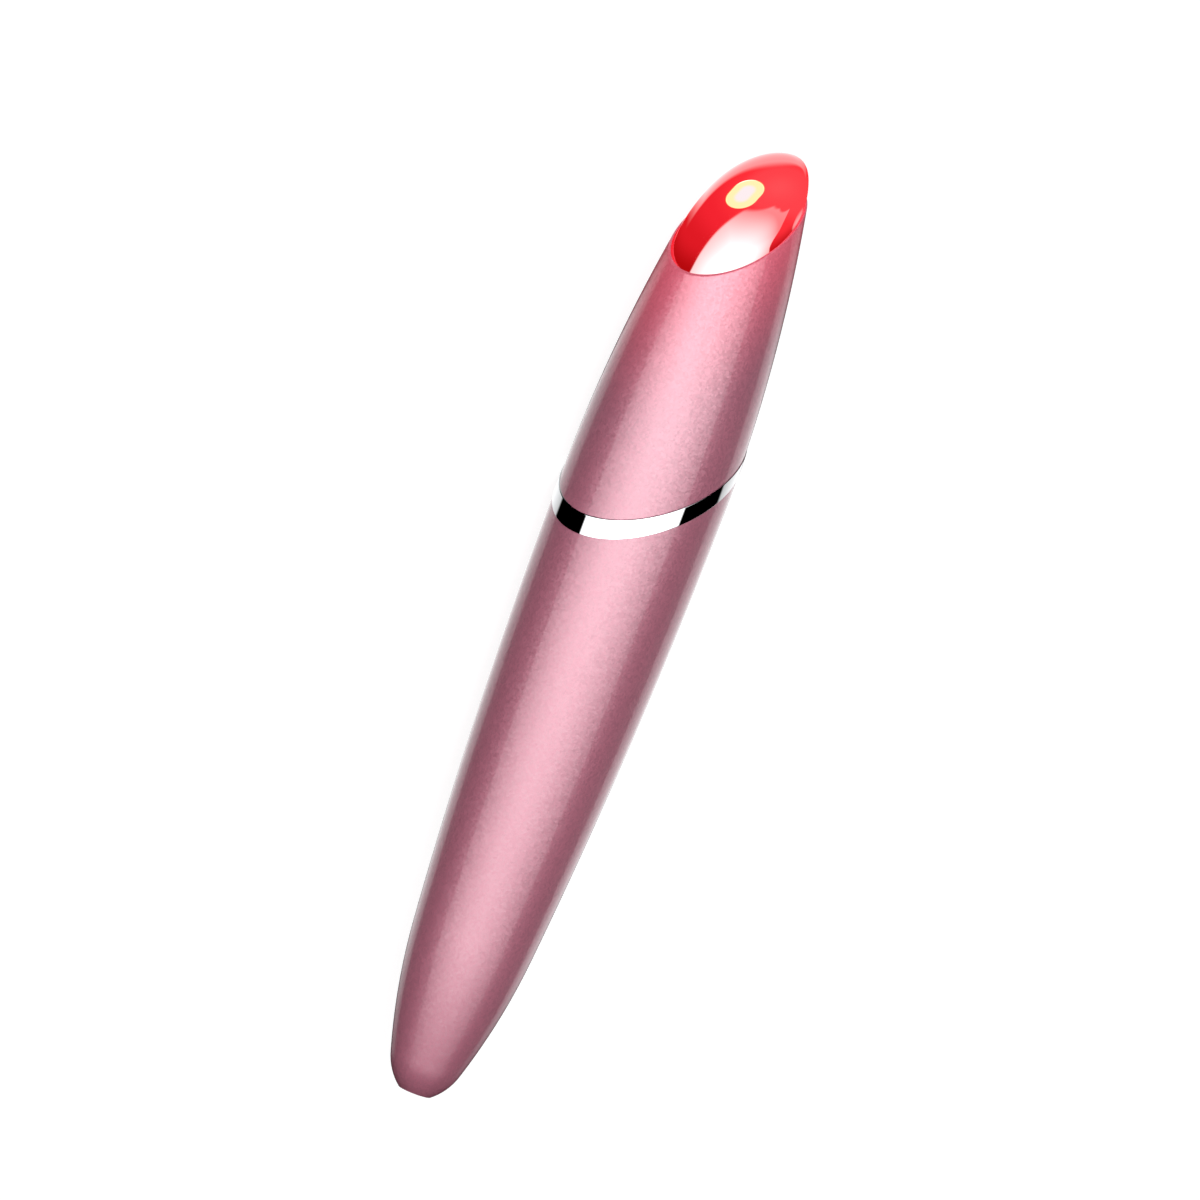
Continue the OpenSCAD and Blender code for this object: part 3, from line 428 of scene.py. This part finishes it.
# The parts inside, by slot. Each has two tones and a pattern of a real size in mm, which may run along the wand;
# the pattern also drives the roughness and a relief. What it is and how it was made stands beside it.
grain, cells, bands = "ShaderNodeTexNoise", "ShaderNodeTexVoronoi", "ShaderNodeTexWave"
insideSet = {
    "silicone": {"name": "mouldedSilicone", "tones": ("#D6CECE", "#E0D9D9"), "pattern": grain, "size": 0.6,
                 "roughness": (0.42, 0.55), "relief": 0.004},  # milky and satin from a blasted mould
    "moulded_abs": {"name": "mouldedAbs", "tones": ("#4A4C51", "#53555B"), "pattern": grain, "size": 0.25,
                    "roughness": (0.45, 0.6), "relief": 0.008},  # spark-eroded mould, fine matt grain
    "spreader_alu": {"name": "stampedAluminium", "tones": ("#C0C2C5", "#CDCFD2"), "pattern": grain, "size": 0.08,
                     "run": 30, "metallic": 1, "roughness": (0.24, 0.4), "relief": 0.002},  # rolling lines
    "chip_black": {"name": "mouldedEpoxy", "tones": ("#121214", "#1B1B1E"), "pattern": cells, "size": 0.07,
                   "roughness": (0.5, 0.66), "relief": 0.003},  # filled resin, speckled and matt
    "board_fr4": {"name": "solderMaskedGlassEpoxy", "tones": ("#154F28", "#1B5A30"), "pattern": bands, "size": 0.5,
                  "roughness": (0.25, 0.34), "relief": 0.003, "coat": 0.5},  # glass cloth shows under gloss mask
    "led_white": {"name": "chipCeramic", "tones": ("#E9E7D6", "#F0EEDF"), "pattern": grain, "size": 0.3,
                  "roughness": (0.3, 0.38), "relief": 0.001},  # pressed white package, smooth
    "motor_steel": {"name": "drawnSteel", "tones": ("#B0B0B3", "#BDBDC0"), "pattern": grain, "size": 0.06,
                    "run": 40, "metallic": 1, "roughness": (0.2, 0.34), "relief": 0.001},  # draw lines
    "motor_nylon": {"name": "mouldedNylon", "tones": ("#DCD6C6", "#E4DFD1"), "pattern": grain, "size": 0.4,
                    "roughness": (0.36, 0.48), "relief": 0.003},  # cream, slightly waxy
    "magnet": {"name": "sinteredFerrite", "tones": ("#39393B", "#454547"), "pattern": cells, "size": 0.12,
               "metallic": 0.5, "roughness": (0.45, 0.62), "relief": 0.005},  # pressed powder, grainy
    "copper_coil": {"name": "enamelledCopper", "tones": ("#A65A34", "#C17449"), "pattern": bands, "size": 0.12,
                    "metallic": 1, "roughness": (0.25, 0.38), "relief": 0.03, "coat": 0.6},  # wound wire
    "bronze": {"name": "sinteredBronze", "tones": ("#B98E4C", "#C8A05F"), "pattern": cells, "size": 0.09,
               "metallic": 1, "roughness": (0.35, 0.55), "relief": 0.005},  # open pores hold oil
    "damper_rubber": {"name": "mouldedRubber", "tones": ("#18181A", "#202023"), "pattern": grain, "size": 0.3,
                      "roughness": (0.68, 0.82), "relief": 0.006},  # dull black
    "tungsten": {"name": "sinteredTungsten", "tones": ("#64646A", "#717177"), "pattern": cells, "size": 0.1,
                 "metallic": 1, "roughness": (0.4, 0.55), "relief": 0.004},  # dark grey, fine grain
    "cell_wrap": {"name": "shrunkFilm", "tones": ("#1F4195", "#274BA3"), "pattern": grain, "size": 2.2,
                  "roughness": (0.18, 0.27), "relief": 0.012, "coat": 0.4},  # thin film, faint waves
    "fish_paper": {"name": "dieCutPaper", "tones": ("#E0D9C2", "#EAE4D2"), "pattern": grain, "size": 0.15, "run": 6,
                   "roughness": (0.75, 0.88), "relief": 0.006},  # long fibres
    "nickel": {"name": "rolledNickel", "tones": ("#C0BBAE", "#CCC7BA"), "pattern": grain, "size": 0.06, "run": 30,
               "metallic": 1, "roughness": (0.22, 0.34), "relief": 0.001},  # warm grey, rolling lines
    "contact_gold": {"name": "goldFlashedBrass", "tones": ("#D3A846", "#DDB65A"), "pattern": grain, "size": 0.2,
                     "metallic": 1, "roughness": (0.16, 0.26), "relief": 0.001},  # thin bright flash
    "wire_pvc": {"name": "softPvc", "tones": ("#B71B16", "#C4241E"), "pattern": grain, "size": 0.8,
                 "roughness": (0.32, 0.44), "relief": 0.004},  # extruded, soft shine
}


def insideFinish(look):
    material, tree, shader, place = newMaterial(look["name"])
    setShader(shader, Metallic=look.get("metallic", 0), Coat_Weight=look.get("coat", 0), Coat_Roughness=0.1)
    fine = 1 / (look["size"] * mm)
    spread = addNode(tree, "ShaderNodeMapping", {"Scale": (fine / look.get("run", 1), fine, fine)}, {"Vector": place})
    pattern = addNode(tree, look["pattern"], {"Scale": 1.0}, {"Vector": spread})
    tone = addNode(tree, "ShaderNodeMix", {"data_type": "RGBA", 6: toLinear(look["tones"][0]),
                   7: toLinear(look["tones"][1])}, {0: pattern})
    low, high = look["roughness"]
    rough = addNode(tree, "ShaderNodeMapRange", {"To Min": low, "To Max": high}, {"Value": pattern})
    bump = addNode(tree, "ShaderNodeBump", {"Distance": look["relief"] * mm}, {"Height": pattern})
    for source, socket in ((tone.outputs[2], "Base Color"), (rough.outputs[0], "Roughness"),
                           (bump.outputs[0], "Normal")):
        tree.links.new(source, shader.inputs[socket])
    return material


# Camera: looks down at the lying wand from its front side, rolled so that the head points up right.
cameraSet = {"elevation": 32.0, "roll": 20.89, "distance": 523.0, "lens": 120.2, "sensor": 36.0,
             "station": 68.6, "sideways": -0.256}
lift = math.radians(cameraSet["elevation"])
towardCamera = Vector((0, -math.cos(lift), math.sin(lift)))
acrossWand = Vector((0, math.sin(lift), math.cos(lift)))
towardTip = Vector((-1, 0, 0))
roll = math.radians(cameraSet["roll"])
imageUp = towardTip * math.cos(roll) - acrossWand * math.sin(roll)
imageRight = towardTip * math.sin(roll) + acrossWand * math.cos(roll)
target = toRow(0, 0, cameraSet["station"]) + acrossWand * cameraSet["sideways"] * mm
cameraData = bpy.data.cameras.new("viewCamera")
cameraData.lens, cameraData.sensor_width = cameraSet["lens"], cameraSet["sensor"]
cameraData.clip_start, cameraData.clip_end = 0.01, 10
camera = bpy.data.objects.new("viewCamera", cameraData)
bpy.context.scene.collection.objects.link(camera)
camera.matrix_world = Matrix.Translation(target + towardCamera * cameraSet["distance"] * mm) @ Matrix(
    (imageRight, imageUp, towardCamera)).transposed().to_4x4()
bpy.context.scene.camera = camera
print("camera set")

# The head's own frame: across, up along the slanted face, and out of it.
headSize = {"faceHeight": 4.02, "crownR": 45.0, "crownShift": 5.0, "edgePower": 8.4, "wall": 1.2, "skirt": 2.4,
            "inset": 0.28, "swell": 0.13, "swellRise": 1.5,
            "windowWidth": 4.2, "windowLength": 5.5, "windowFit": 0.03, "windowRim": 0.06}
faceLean = math.radians(wandSet["lipTilt"])


def fromFace(across, up, out):  # the face's own frame to wand coordinates, in mm
    return Vector((across, up * math.cos(faceLean) - out * math.sin(faceLean),
                   up * math.sin(faceLean) + out * math.cos(faceLean)))


def faceToRow(across, up, out):
    p = fromFace(across, up, out)
    return toRow(p.x, p.y, p.z + wandSet["lip"])


lipPoint = faceToRow(0, 0, 0)
faceOut = (faceToRow(0, 0, 1) - lipPoint).normalized()
faceUp = (faceToRow(0, 1, 0) - lipPoint).normalized()
windowLean = math.asin(headSize["crownShift"] / headSize["crownR"])
crownCentre = (0, headSize["crownShift"], headSize["faceHeight"] - headSize["crownR"])


def windowToRow(across, along, out):  # the window's frame: its top lies on the crown at out = 0
    rise = headSize["crownR"] + out
    up = along * math.cos(windowLean) - rise * math.sin(windowLean) + crownCentre[1]
    return faceToRow(across, up, along * math.sin(windowLean) + rise * math.cos(windowLean) + crownCentre[2])


def crownDrop(across, along):
    return math.sqrt(headSize["crownR"] ** 2 - across ** 2 - along ** 2) - headSize["crownR"]


windowPoint = windowToRow(0, 0, 0)
faceAcross = (faceToRow(1, 0, 0) - lipPoint).normalized()
windowAcross = (windowToRow(1, 0, 0) - windowPoint).normalized()
windowAlong = (windowToRow(0, 1, 0) - windowPoint).normalized()


def headPoint(v, inset, drop):  # the same rule as the CAD head: form and crown blended along each ray
    eye = fromFace(0, 0, -headSize["skirt"]) + Vector((0, 0, wandSet["lip"]))
    ray = fromFace(*v)

    def isInside(reach):
        p = eye + ray * reach
        return math.hypot(p.x, p.y) < outlineR(p.z, inset)

    side = halveTo(isInside, 40.0, 26)
    rise = min(1, max(0, (side * v.z - headSize["skirt"]) / headSize["swellRise"]))
    side += headSize["swell"] * rise * rise * (3 - 2 * rise)
    r = headSize["crownR"] - drop
    centre = Vector((0, headSize["crownShift"], headSize["faceHeight"] - headSize["crownR"] + headSize["skirt"]))
    along = v.dot(centre)
    top = along + math.sqrt(max(0, along ** 2 - centre.length_squared + r ** 2))
    power = headSize["edgePower"]
    p = eye + ray * (side ** -power + top ** -power) ** (-1 / power)
    return toRow(p.x, p.y, p.z)


pearlRear = pearlLacquer("pearlLacquerRear", False)
# the front copy carries a painted red glow near the lip
pearlFrontPaintedGlow = pearlLacquer("pearlLacquerFrontPaintedGlow", True)
chrome = chromePlate("chromePlatedAbs")
mirrorRed = halfMirror("metallisedPolycarbonate")
windowGlow = litWindow("litPolycarbonateWindow")
print("materials made")

ringSet = {"middle": 86.7, "length": 2.7, "tilt": 42, "gap": 0.03, "proud": 0.095, "rimSize": 0.06}
ringHalf = ringSet["length"] / 2 * math.cos(math.radians(ringSet["tilt"]))


def ringPlane(off):
    return (ringSet["middle"], ringSet["tilt"], off)


turns = 192
# Rear shell: outer skin, tail flat, socket mouth, cavity, spigot.
rearSet = {
    "tubeReach": 5.0, "tubeInset": 1.45, "tubeWall": 1.0, "tubeRoot": 3.0, "socketR": 1.3, "pocketR": 2.75,
    "rimSize": 0.05, "straightRows": 58.0,
    "tailStations": (0, 0.2, 0.45, 0.8, 1.2, 1.7, 2.2, 2.8, 3.4, 4, 4.7, 5.5, 6.4, 7.5, 8.8, 10.2, 11.8, 13.6,
                     15.5, 17.5, 19.5, 21.5, 24, 27, 30, 33, 36, 39, 42, 45, 48, 51, 54),
}
tubeEnd = (ringSet["middle"] + ringSet["length"] / 2 + rearSet["tubeReach"], ringSet["tilt"], 0)
tubeRoot = (ringSet["middle"] - ringSet["length"] / 2 - rearSet["tubeRoot"], ringSet["tilt"], 0)
rearEdge = ringPlane(-ringHalf)
rearRows = [skinRow(0, (s, 0, 0)) for s in rearSet["tailStations"]]
rearRows += skinRows(0, (rearSet["straightRows"], 0, 0), rearEdge, 16)
outerRim = len(rearRows) - 1
rearRows += [skinRow(rearSet["tubeInset"], rearEdge), skinRow(rearSet["tubeInset"], rearEdge, tubeEnd, 0.5),
             skinRow(rearSet["tubeInset"], tubeEnd),
             skinRow(rearSet["tubeInset"] + rearSet["tubeWall"], tubeEnd),
             skinRow(rearSet["tubeInset"] + rearSet["tubeWall"], tubeRoot)]
rearRows += skinRows(wandSet["wall"], tubeRoot, (wandSet["cavityStart"], 0, 0), 24)
rearRows += [boreRow(rearSet["pocketR"], wandSet["cavityStart"]), boreRow(rearSet["pocketR"], wandSet["tailWall"]),
             boreRow(rearSet["socketR"], wandSet["tailWall"]), boreRow(rearSet["socketR"], 0)]
rearRims = dict.fromkeys((0, outerRim, len(rearRows) - 1), rearSet["rimSize"])
rearShell = makePiece("rearShell", spinRows(rearRows, turns, rearRims))

# Button slot: a guide rim inside the wall, then the slot with a softened mouth.
buttonSet = {"station": 82.9, "width": 5.0, "length": 9.0, "gap": 0.12, "recess": 0.15, "collarWall": 1.1,
             "collarDepth": 2.8, "dishR": 16.0, "dishDepth": 0.3, "edge": 0.22, "flangeOver": 0.9, "flangeT": 0.7,
             "mouth": 0.16, "crease": 0.09, "sealT": 0.5, "sealGap": 0.15, "collarHigh": 1.5}
buttonR = outlineR(buttonSet["station"])


def buttonToRow(across, along, height):
    return toRow(across, height, buttonSet["station"] + along)


def formHeight(across, along):
    return math.sqrt(outlineR(buttonSet["station"] + along) ** 2 - across ** 2)


slotWidth, slotLength = (buttonSet[k] + 2 * buttonSet["gap"] for k in ("width", "length"))
collarLow = buttonR - buttonSet["collarDepth"]
mouth = buttonSet["mouth"]
collarLevels = [(buttonSet["collarWall"], collarLow, False),
                (buttonSet["collarWall"], collarLow + buttonSet["collarHigh"], False)]
slotLevels = [(0, collarLow - 1, False), (0, -mouth, True), (0.05, -0.05, True), (mouth, 0, True),
              (mouth + 0.1, 0.03, True), (mouth + 0.1, 1, True)]
for levels, how in ((collarLevels, "UNION"), (slotLevels, "DIFFERENCE")):
    carve(rearShell, stadiumLoft(slotWidth, slotLength, levels, buttonToRow, formHeight), how)
trueNormals(rearShell, lambda co: skinNormal(co) if abs(riseAt(co)) < 0.02 else None)
addPiece(rearShell, "wand", "pearl_shell", pearlRear, "rear_shell")

# Front shell: outer skin from ring to lip, a rebate for the head, then the inner wall.
frontSet = {"lipWall": 0.25, "rebate": 3.05, "rimSize": 0.05, "lipRimSize": 0.12}
frontEdge = ringPlane(ringHalf)
lipPlane = (wandSet["lip"], wandSet["lipTilt"], 0)
rebatePlane = (wandSet["lip"], wandSet["lipTilt"], -frontSet["rebate"])
frontRows = skinRows(0, frontEdge, lipPlane, 30)
frontRows += [skinRow(frontSet["lipWall"], lipPlane), skinRow(frontSet["lipWall"], rebatePlane)]
frontRows += skinRows(wandSet["wall"], rebatePlane, frontEdge, 12)
frontShell = makePiece("frontShell", spinRows(frontRows, turns, {0: frontSet["rimSize"], 30: frontSet["lipRimSize"]}))
trueNormals(frontShell, lambda co: skinNormal(co) if abs(riseAt(co)) < 0.01 else None)
addPiece(frontShell, "wand", "pearl_shell", pearlFrontPaintedGlow, "front_shell")

# Trim ring: a plated band a touch proud of the shells, both edges rounded.
ringLow, ringHigh = ringPlane(ringSet["gap"] - ringHalf), ringPlane(ringHalf - ringSet["gap"])
ringRows = skinRows(-ringSet["proud"], ringLow, ringHigh, 6) + [skinRow(wandSet["wall"], ringHigh),
                                                                skinRow(wandSet["wall"], ringLow)]
trimRing = makePiece("trimRing", spinRows(ringRows, turns, dict.fromkeys((0, 6), ringSet["rimSize"])))
trueNormals(trimRing, lambda co: skinNormal(co) if riseAt(co) > ringSet["proud"] - 0.005 else None)
addPiece(trimRing, "wand", "plated_trim", chrome, "trim_ring")

# Massage head: outer and inner skin run from the window's hole to the foot, each vertex placed by the head's rule.
headRows, headTurns = 64, 160
eyePoint = faceToRow(0, 0, -headSize["skirt"])


def stadiumPoint(share, radius, straight):  # a walk round a stadium from the middle of its right side
    quarter, part = divmod(share * 4, 1)
    walk = (straight + math.pi * radius / 2) * (1 - part if quarter % 2 else part)
    bend = max(0, walk - straight) / radius
    across, along = radius * math.cos(bend), min(walk, straight) + radius * math.sin(bend)
    return (across if quarter in (0, 3) else -across), (along if quarter < 2 else -along)


bm, rowOf = spinChain(2 * (headRows + 1), headTurns)
for vert in bm.verts:
    turn, row = math.atan2(vert.co.y, vert.co.x), vert[rowOf]
    inner = row > headRows
    share = (2 * headRows + 1 - row if inner else row) / headRows
    drop = headSize["wall"] * inner
    across, along = stadiumPoint((turn / (2 * math.pi)) % 1, headSize["windowWidth"] / 2 + headSize["windowFit"],
                                 (headSize["windowLength"] - headSize["windowWidth"]) / 2)
    hole = windowToRow(across, along, crownDrop(across, along) - drop) - eyePoint
    ray = Vector((hole.dot(faceAcross), hole.dot(faceUp), hole.dot(faceOut))).normalized() * (1 - share)
    ray += Vector((math.cos(turn), math.sin(turn), 0)) * share
    vert.co = headPoint(ray.normalized(), headSize["inset"] + drop, drop)
massageHead = makePiece("massageHead", softenRims(bm, rowOf, {0: headSize["windowRim"]}))
addPiece(massageHead, "wand", "lit_head", mirrorRed, "massage_head")

# Light window: a clear light guide flush with the crown, with a flange under the face.
windowSet = {"flangeOver": 0.6, "flangeTop": -1.4, "flangeLow": -2.0, "edge": 0.12}
over, top, low, edge = windowSet.values()
windowRings = [(over, low, False), (over, top, False), (0, top, False), (0, -edge, True),
               (-0.035, -0.035, True), (-edge, 0, True)]
windowRings += [(-edge - (headSize["windowWidth"] / 2 - edge) * i / 10, 0, True) for i in range(1, 11)]
lightWindow = makePiece("lightWindow", stadiumLoft(
    headSize["windowWidth"], headSize["windowLength"], windowRings, windowToRow, crownDrop))
addPiece(lightWindow, "wand", "clear_window", windowGlow, "light_window")


# Button cap: follows the body, with a shallow thumb dish, rounded edge and a flange under the seal.
def capHeight(across, along):
    form = math.sqrt((outlineR(buttonSet["station"] + along) - buttonSet["recess"]) ** 2 - across ** 2)
    dish = buttonR - buttonSet["recess"] - buttonSet["dishDepth"] + buttonSet["dishR"] - math.sqrt(
        buttonSet["dishR"] ** 2 - across ** 2 - along ** 2)
    crease = buttonSet["crease"]
    soft = max(0, crease - abs(form - dish)) / crease  # the dish's crease is rounded over
    return min(form, dish) - soft * soft * crease / 4


flangeTop = buttonR - buttonSet["collarDepth"] - buttonSet["sealT"] - buttonSet["sealGap"]
over, edge = buttonSet["flangeOver"], buttonSet["edge"]
capRings = [(over, flangeTop - buttonSet["flangeT"], False), (over, flangeTop, False), (0, flangeTop, False),
            (0, -edge, True), (-0.134 * edge, -0.5 * edge, True), (-0.5 * edge, -0.134 * edge, True),
            (-edge, 0, True)]  # the shares are a quarter round's
capRings += [(-edge - (buttonSet["width"] / 2 - edge) * i / 16, 0, True) for i in range(1, 17)]
buttonCap = makePiece("buttonCap", stadiumLoft(
    buttonSet["width"], buttonSet["length"], capRings, buttonToRow, capHeight))
addPiece(buttonCap, "button", "plated_trim", chrome, "button_cap")
print("outer pieces made")

# The parts inside keep their CAD shapes and take the finish of their slot.
finishes = {slotName: insideFinish(look) for slotName, look in insideSet.items()}
finishes.update(plated_trim=chrome, pearl_shell=pearlRear, lit_head=mirrorRed, clear_window=windowGlow)
for subpart in frame["record"]["subparts"]:
    for materialSlot in nodes[subpart["node"]].material_slots:
        materialSlot.material = finishes[subpart["material_slot"]]
print("inside parts finished:", len(finishes), "finishes")

# Stage: a plain white floor. The camera sees mostly its own white, the rest takes light and so keeps the shadow.
floorSet = {"size": 3.0, "ownWhite": 0.87, "paint": "#969696"}
floorMaterial = bpy.data.materials.new("whiteSweep")
floorMaterial.use_nodes = True
tree = floorMaterial.node_tree
tree.nodes.clear()
path = addNode(tree, "ShaderNodeLightPath")
share = addNode(tree, "ShaderNodeMath", {"operation": "MULTIPLY", 1: floorSet["ownWhite"]},
                {0: path.outputs["Is Camera Ray"]})
both = addNode(tree, "ShaderNodeAddShader", None, {
    0: addNode(tree, "ShaderNodeBsdfDiffuse", {"Color": toLinear(floorSet["paint"])}),
    1: addNode(tree, "ShaderNodeEmission", {"Color": (1, 1, 1, 1)}, {"Strength": share})})
addNode(tree, "ShaderNodeOutputMaterial", None, {"Surface": both})
bm = bmesh.new()
bmesh.ops.create_grid(bm, x_segments=1, y_segments=1, size=floorSet["size"])
floor = makePiece("floor", bm)
floor.data.materials.append(floorMaterial)
floor.visible_glossy = False

# Studio as polished surfaces see it, by direction: a long soft box over the camera, brightest ahead of it, faded
# toward the tip and cut there on three slants, black flags beside it, the white backdrop behind. Angles in degrees.
studioSet = {
    "boxHalf": 64.0, "boxFlare": (0.527, -0.22), "boxEven": 0.73, "boxPeak": 2.8, "peakLift": 12.0,
    "tailDim": (-60.0, 0.0), "tipFade": (-1.35, 1.8, -3.5, 2.37),
    "tipEdges": ((0.0, 64.0, 66.5), (0.22, 61.5, 64.0), (-0.36, 82.5, 86.0)), "tipLeast": 0.35,
    "backLean": -0.2, "backEdge": (-0.47, -0.55), "backDim": (-0.40, -0.95), "backLight": (0.5, 1.4),
    "backTurns": (  # turn round the view line and the share of the backdrop seen there
        (-30, 0), (-12, 0.85), (13, 0.85), (22, 0), (58, 0), (85, 0.6), (100, 0.95), (125, 1), (143, 1),
        (150, 0.25), (154, 0), (163, 0), (168, 0.85), (195, 0.85), (213, 0)),
    "roomLight": 0.19, "lampLight": 2.10, "lampLift": 7.0, "lampSpread": 60.0, "fillLight": 1.5, "fillLift": 10.0,
}
world = bpy.data.worlds.new("studio")
bpy.context.scene.world = world
world.use_nodes = True
tree = world.node_tree
tree.nodes.clear()
ray = addNode(tree, "ShaderNodeTexCoord").outputs["Generated"]
peakLift, halfTan = math.radians(studioSet["peakLift"]), math.tan(math.radians(studioSet["boxHalf"]))
peakWay = towardCamera * math.cos(peakLift) + towardTip * math.sin(peakLift)
leftWay, rightWay = (
    (acrossWand * hand + towardCamera * halfTan + towardTip * flare).normalized()
    for hand, flare in zip((1, -1), studioSet["boxFlare"]))
side, front, ahead, peak, fromLeft, fromRight = (
    addNode(tree, "ShaderNodeVectorMath", {"operation": "DOT_PRODUCT", 1: list(way)}, {0: ray}).outputs["Value"]
    for way in (acrossWand, towardCamera, towardTip, peakWay, leftWay, rightWay))
turnAngle = addNode(tree, "ShaderNodeMath", {"operation": "ARCTAN2"}, {0: side, 1: front})
tipAngle = addNode(tree, "ShaderNodeMath", {"operation": "ARCSINE"}, {0: ahead})
tipEnds = [(addNode(tree, "ShaderNodeMath", {"operation": "MULTIPLY_ADD", 1: lean}, {0: turnAngle, 2: tipAngle}), ends)
           for lean, *ends in studioSet["tipEdges"]]
level = addNode(tree, "ShaderNodeMath", {"operation": "MAXIMUM", 1: 0.0}, {0: peak})
level = addNode(tree, "ShaderNodeMath", {"operation": "POWER", 1: 2.0}, {0: level})
level = addNode(tree, "ShaderNodeMath", {"operation": "MULTIPLY_ADD", 1: studioSet["boxPeak"],
                2: studioSet["boxEven"]}, {0: level})
fadeAcross, fadeFront, fadeAhead, fadeStart = studioSet["tipFade"]
fadeWay = acrossWand * fadeAcross + towardCamera * fadeFront + towardTip * fadeAhead
tipFade = addNode(tree, "ShaderNodeVectorMath", {"operation": "DOT_PRODUCT", 1: list(fadeWay)}, {0: ray})
tipFade = addNode(tree, "ShaderNodeMath", {"operation": "ADD", 1: fadeStart}, {0: tipFade.outputs["Value"]})
tipFade = addNode(tree, "ShaderNodeMath", {"operation": "MAXIMUM", 1: studioSet["tipLeast"]}, {0: tipFade})
level = addNode(tree, "ShaderNodeMath", {"operation": "MINIMUM"}, {0: level, 1: tipFade})
dims = [(source, (-1, 1), "SMOOTHSTEP", 0, 1) for source in (fromLeft, fromRight)]
dims += [(source, ends, "SMOOTHSTEP", 1, 0) for source, ends in tipEnds]
dims.append((tipAngle, studioSet["tailDim"], "LINEAR", 0, 1))
for source, ends, soft, first, last in dims:
    dim = addNode(tree, "ShaderNodeMapRange", {
        "interpolation_type": soft, "From Min": math.radians(ends[0]), "From Max": math.radians(ends[1]),
        "To Min": first, "To Max": last}, {"Value": source})
    level = addNode(tree, "ShaderNodeMath", {"operation": "MULTIPLY"}, {0: level, 1: dim})

# The backdrop behind: it fades away from the view line, and flags hide it round part of the turn.
turnStart = studioSet["backTurns"][0][0]
turnRound = addNode(tree, "ShaderNodeMath", {"operation": "ARCTAN2"}, {0: ahead, 1: side})
turnRound = addNode(tree, "ShaderNodeMath", {"operation": "SUBTRACT", 1: math.radians(turnStart)}, {0: turnRound})
turnRound = addNode(tree, "ShaderNodeMath", {"operation": "WRAP", 1: 2 * math.pi, 2: 0.0}, {0: turnRound})
turnRound = addNode(tree, "ShaderNodeMath", {"operation": "DIVIDE", 1: 2 * math.pi}, {0: turnRound})
flags = addNode(tree, "ShaderNodeValToRGB", None, {0: turnRound})
for i, (turn, seenShare) in enumerate(studioSet["backTurns"]):
    where = (turn - turnStart) / 360
    stop = flags.color_ramp.elements[i] if i < 2 else flags.color_ramp.elements.new(where)
    stop.position, stop.color = where, [seenShare] * 3 + [1]
leant = addNode(tree, "ShaderNodeMath", {"operation": "MULTIPLY_ADD", 1: studioSet["backLean"]},
                {0: ahead, 2: front})
edgeMask, backLevel = (
    addNode(tree, "ShaderNodeMapRange", {"interpolation_type": soft, "From Min": ends[0], "From Max": ends[1],
            "To Min": first, "To Max": last}, {"Value": source})
    for source, soft, ends, (first, last) in (
        (leant, "SMOOTHSTEP", studioSet["backEdge"], (0, 1)),
        (front, "LINEAR", studioSet["backDim"], studioSet["backLight"])))
backdrop = addNode(tree, "ShaderNodeMath", {"operation": "MULTIPLY"}, {0: edgeMask, 1: backLevel})
backdrop = addNode(tree, "ShaderNodeMath", {"operation": "MULTIPLY"}, {0: backdrop, 1: flags})
mirrored = addNode(tree, "ShaderNodeMath", {"operation": "ADD"}, {0: level, 1: backdrop})
path = addNode(tree, "ShaderNodeLightPath")
seen = addNode(tree, "ShaderNodeMath", {"operation": "MAXIMUM"},
               {0: path.outputs["Is Camera Ray"], 1: path.outputs["Is Transmission Ray"]})
room = addNode(tree, "ShaderNodeMix", {"data_type": "FLOAT", 2: studioSet["roomLight"], 3: 1.0}, {0: seen})
strength = addNode(tree, "ShaderNodeMix", {"data_type": "FLOAT"},
                   {0: path.outputs["Is Glossy Ray"], 2: room, 3: mirrored})
addNode(tree, "ShaderNodeOutputWorld", None, {
    "Surface": addNode(tree, "ShaderNodeBackground", {"Color": (1, 1, 1, 1)}, {"Strength": strength})})

# The same soft box as a lamp for matt surfaces, and a low fill from behind for the far side.
lampLift, fillLift = math.radians(studioSet["lampLift"]), math.radians(studioSet["fillLift"])
for name, energy, way in (
        ("softBox", studioSet["lampLight"], towardCamera * math.cos(lampLift) + towardTip * math.sin(lampLift)),
        ("backFill", studioSet["fillLight"], Vector((0, math.cos(fillLift), math.sin(fillLift))))):
    lampData = bpy.data.lights.new(name, "SUN")
    lampData.energy, lampData.angle = energy, math.radians(studioSet["lampSpread"])
    lamp = bpy.data.objects.new(name, lampData)
    lamp.rotation_euler = way.to_track_quat("Z", "Y").to_euler()
    lamp.visible_glossy = False
    bpy.context.scene.collection.objects.link(lamp)
bpy.context.scene.view_settings.view_transform = "Standard"
print("stage set")
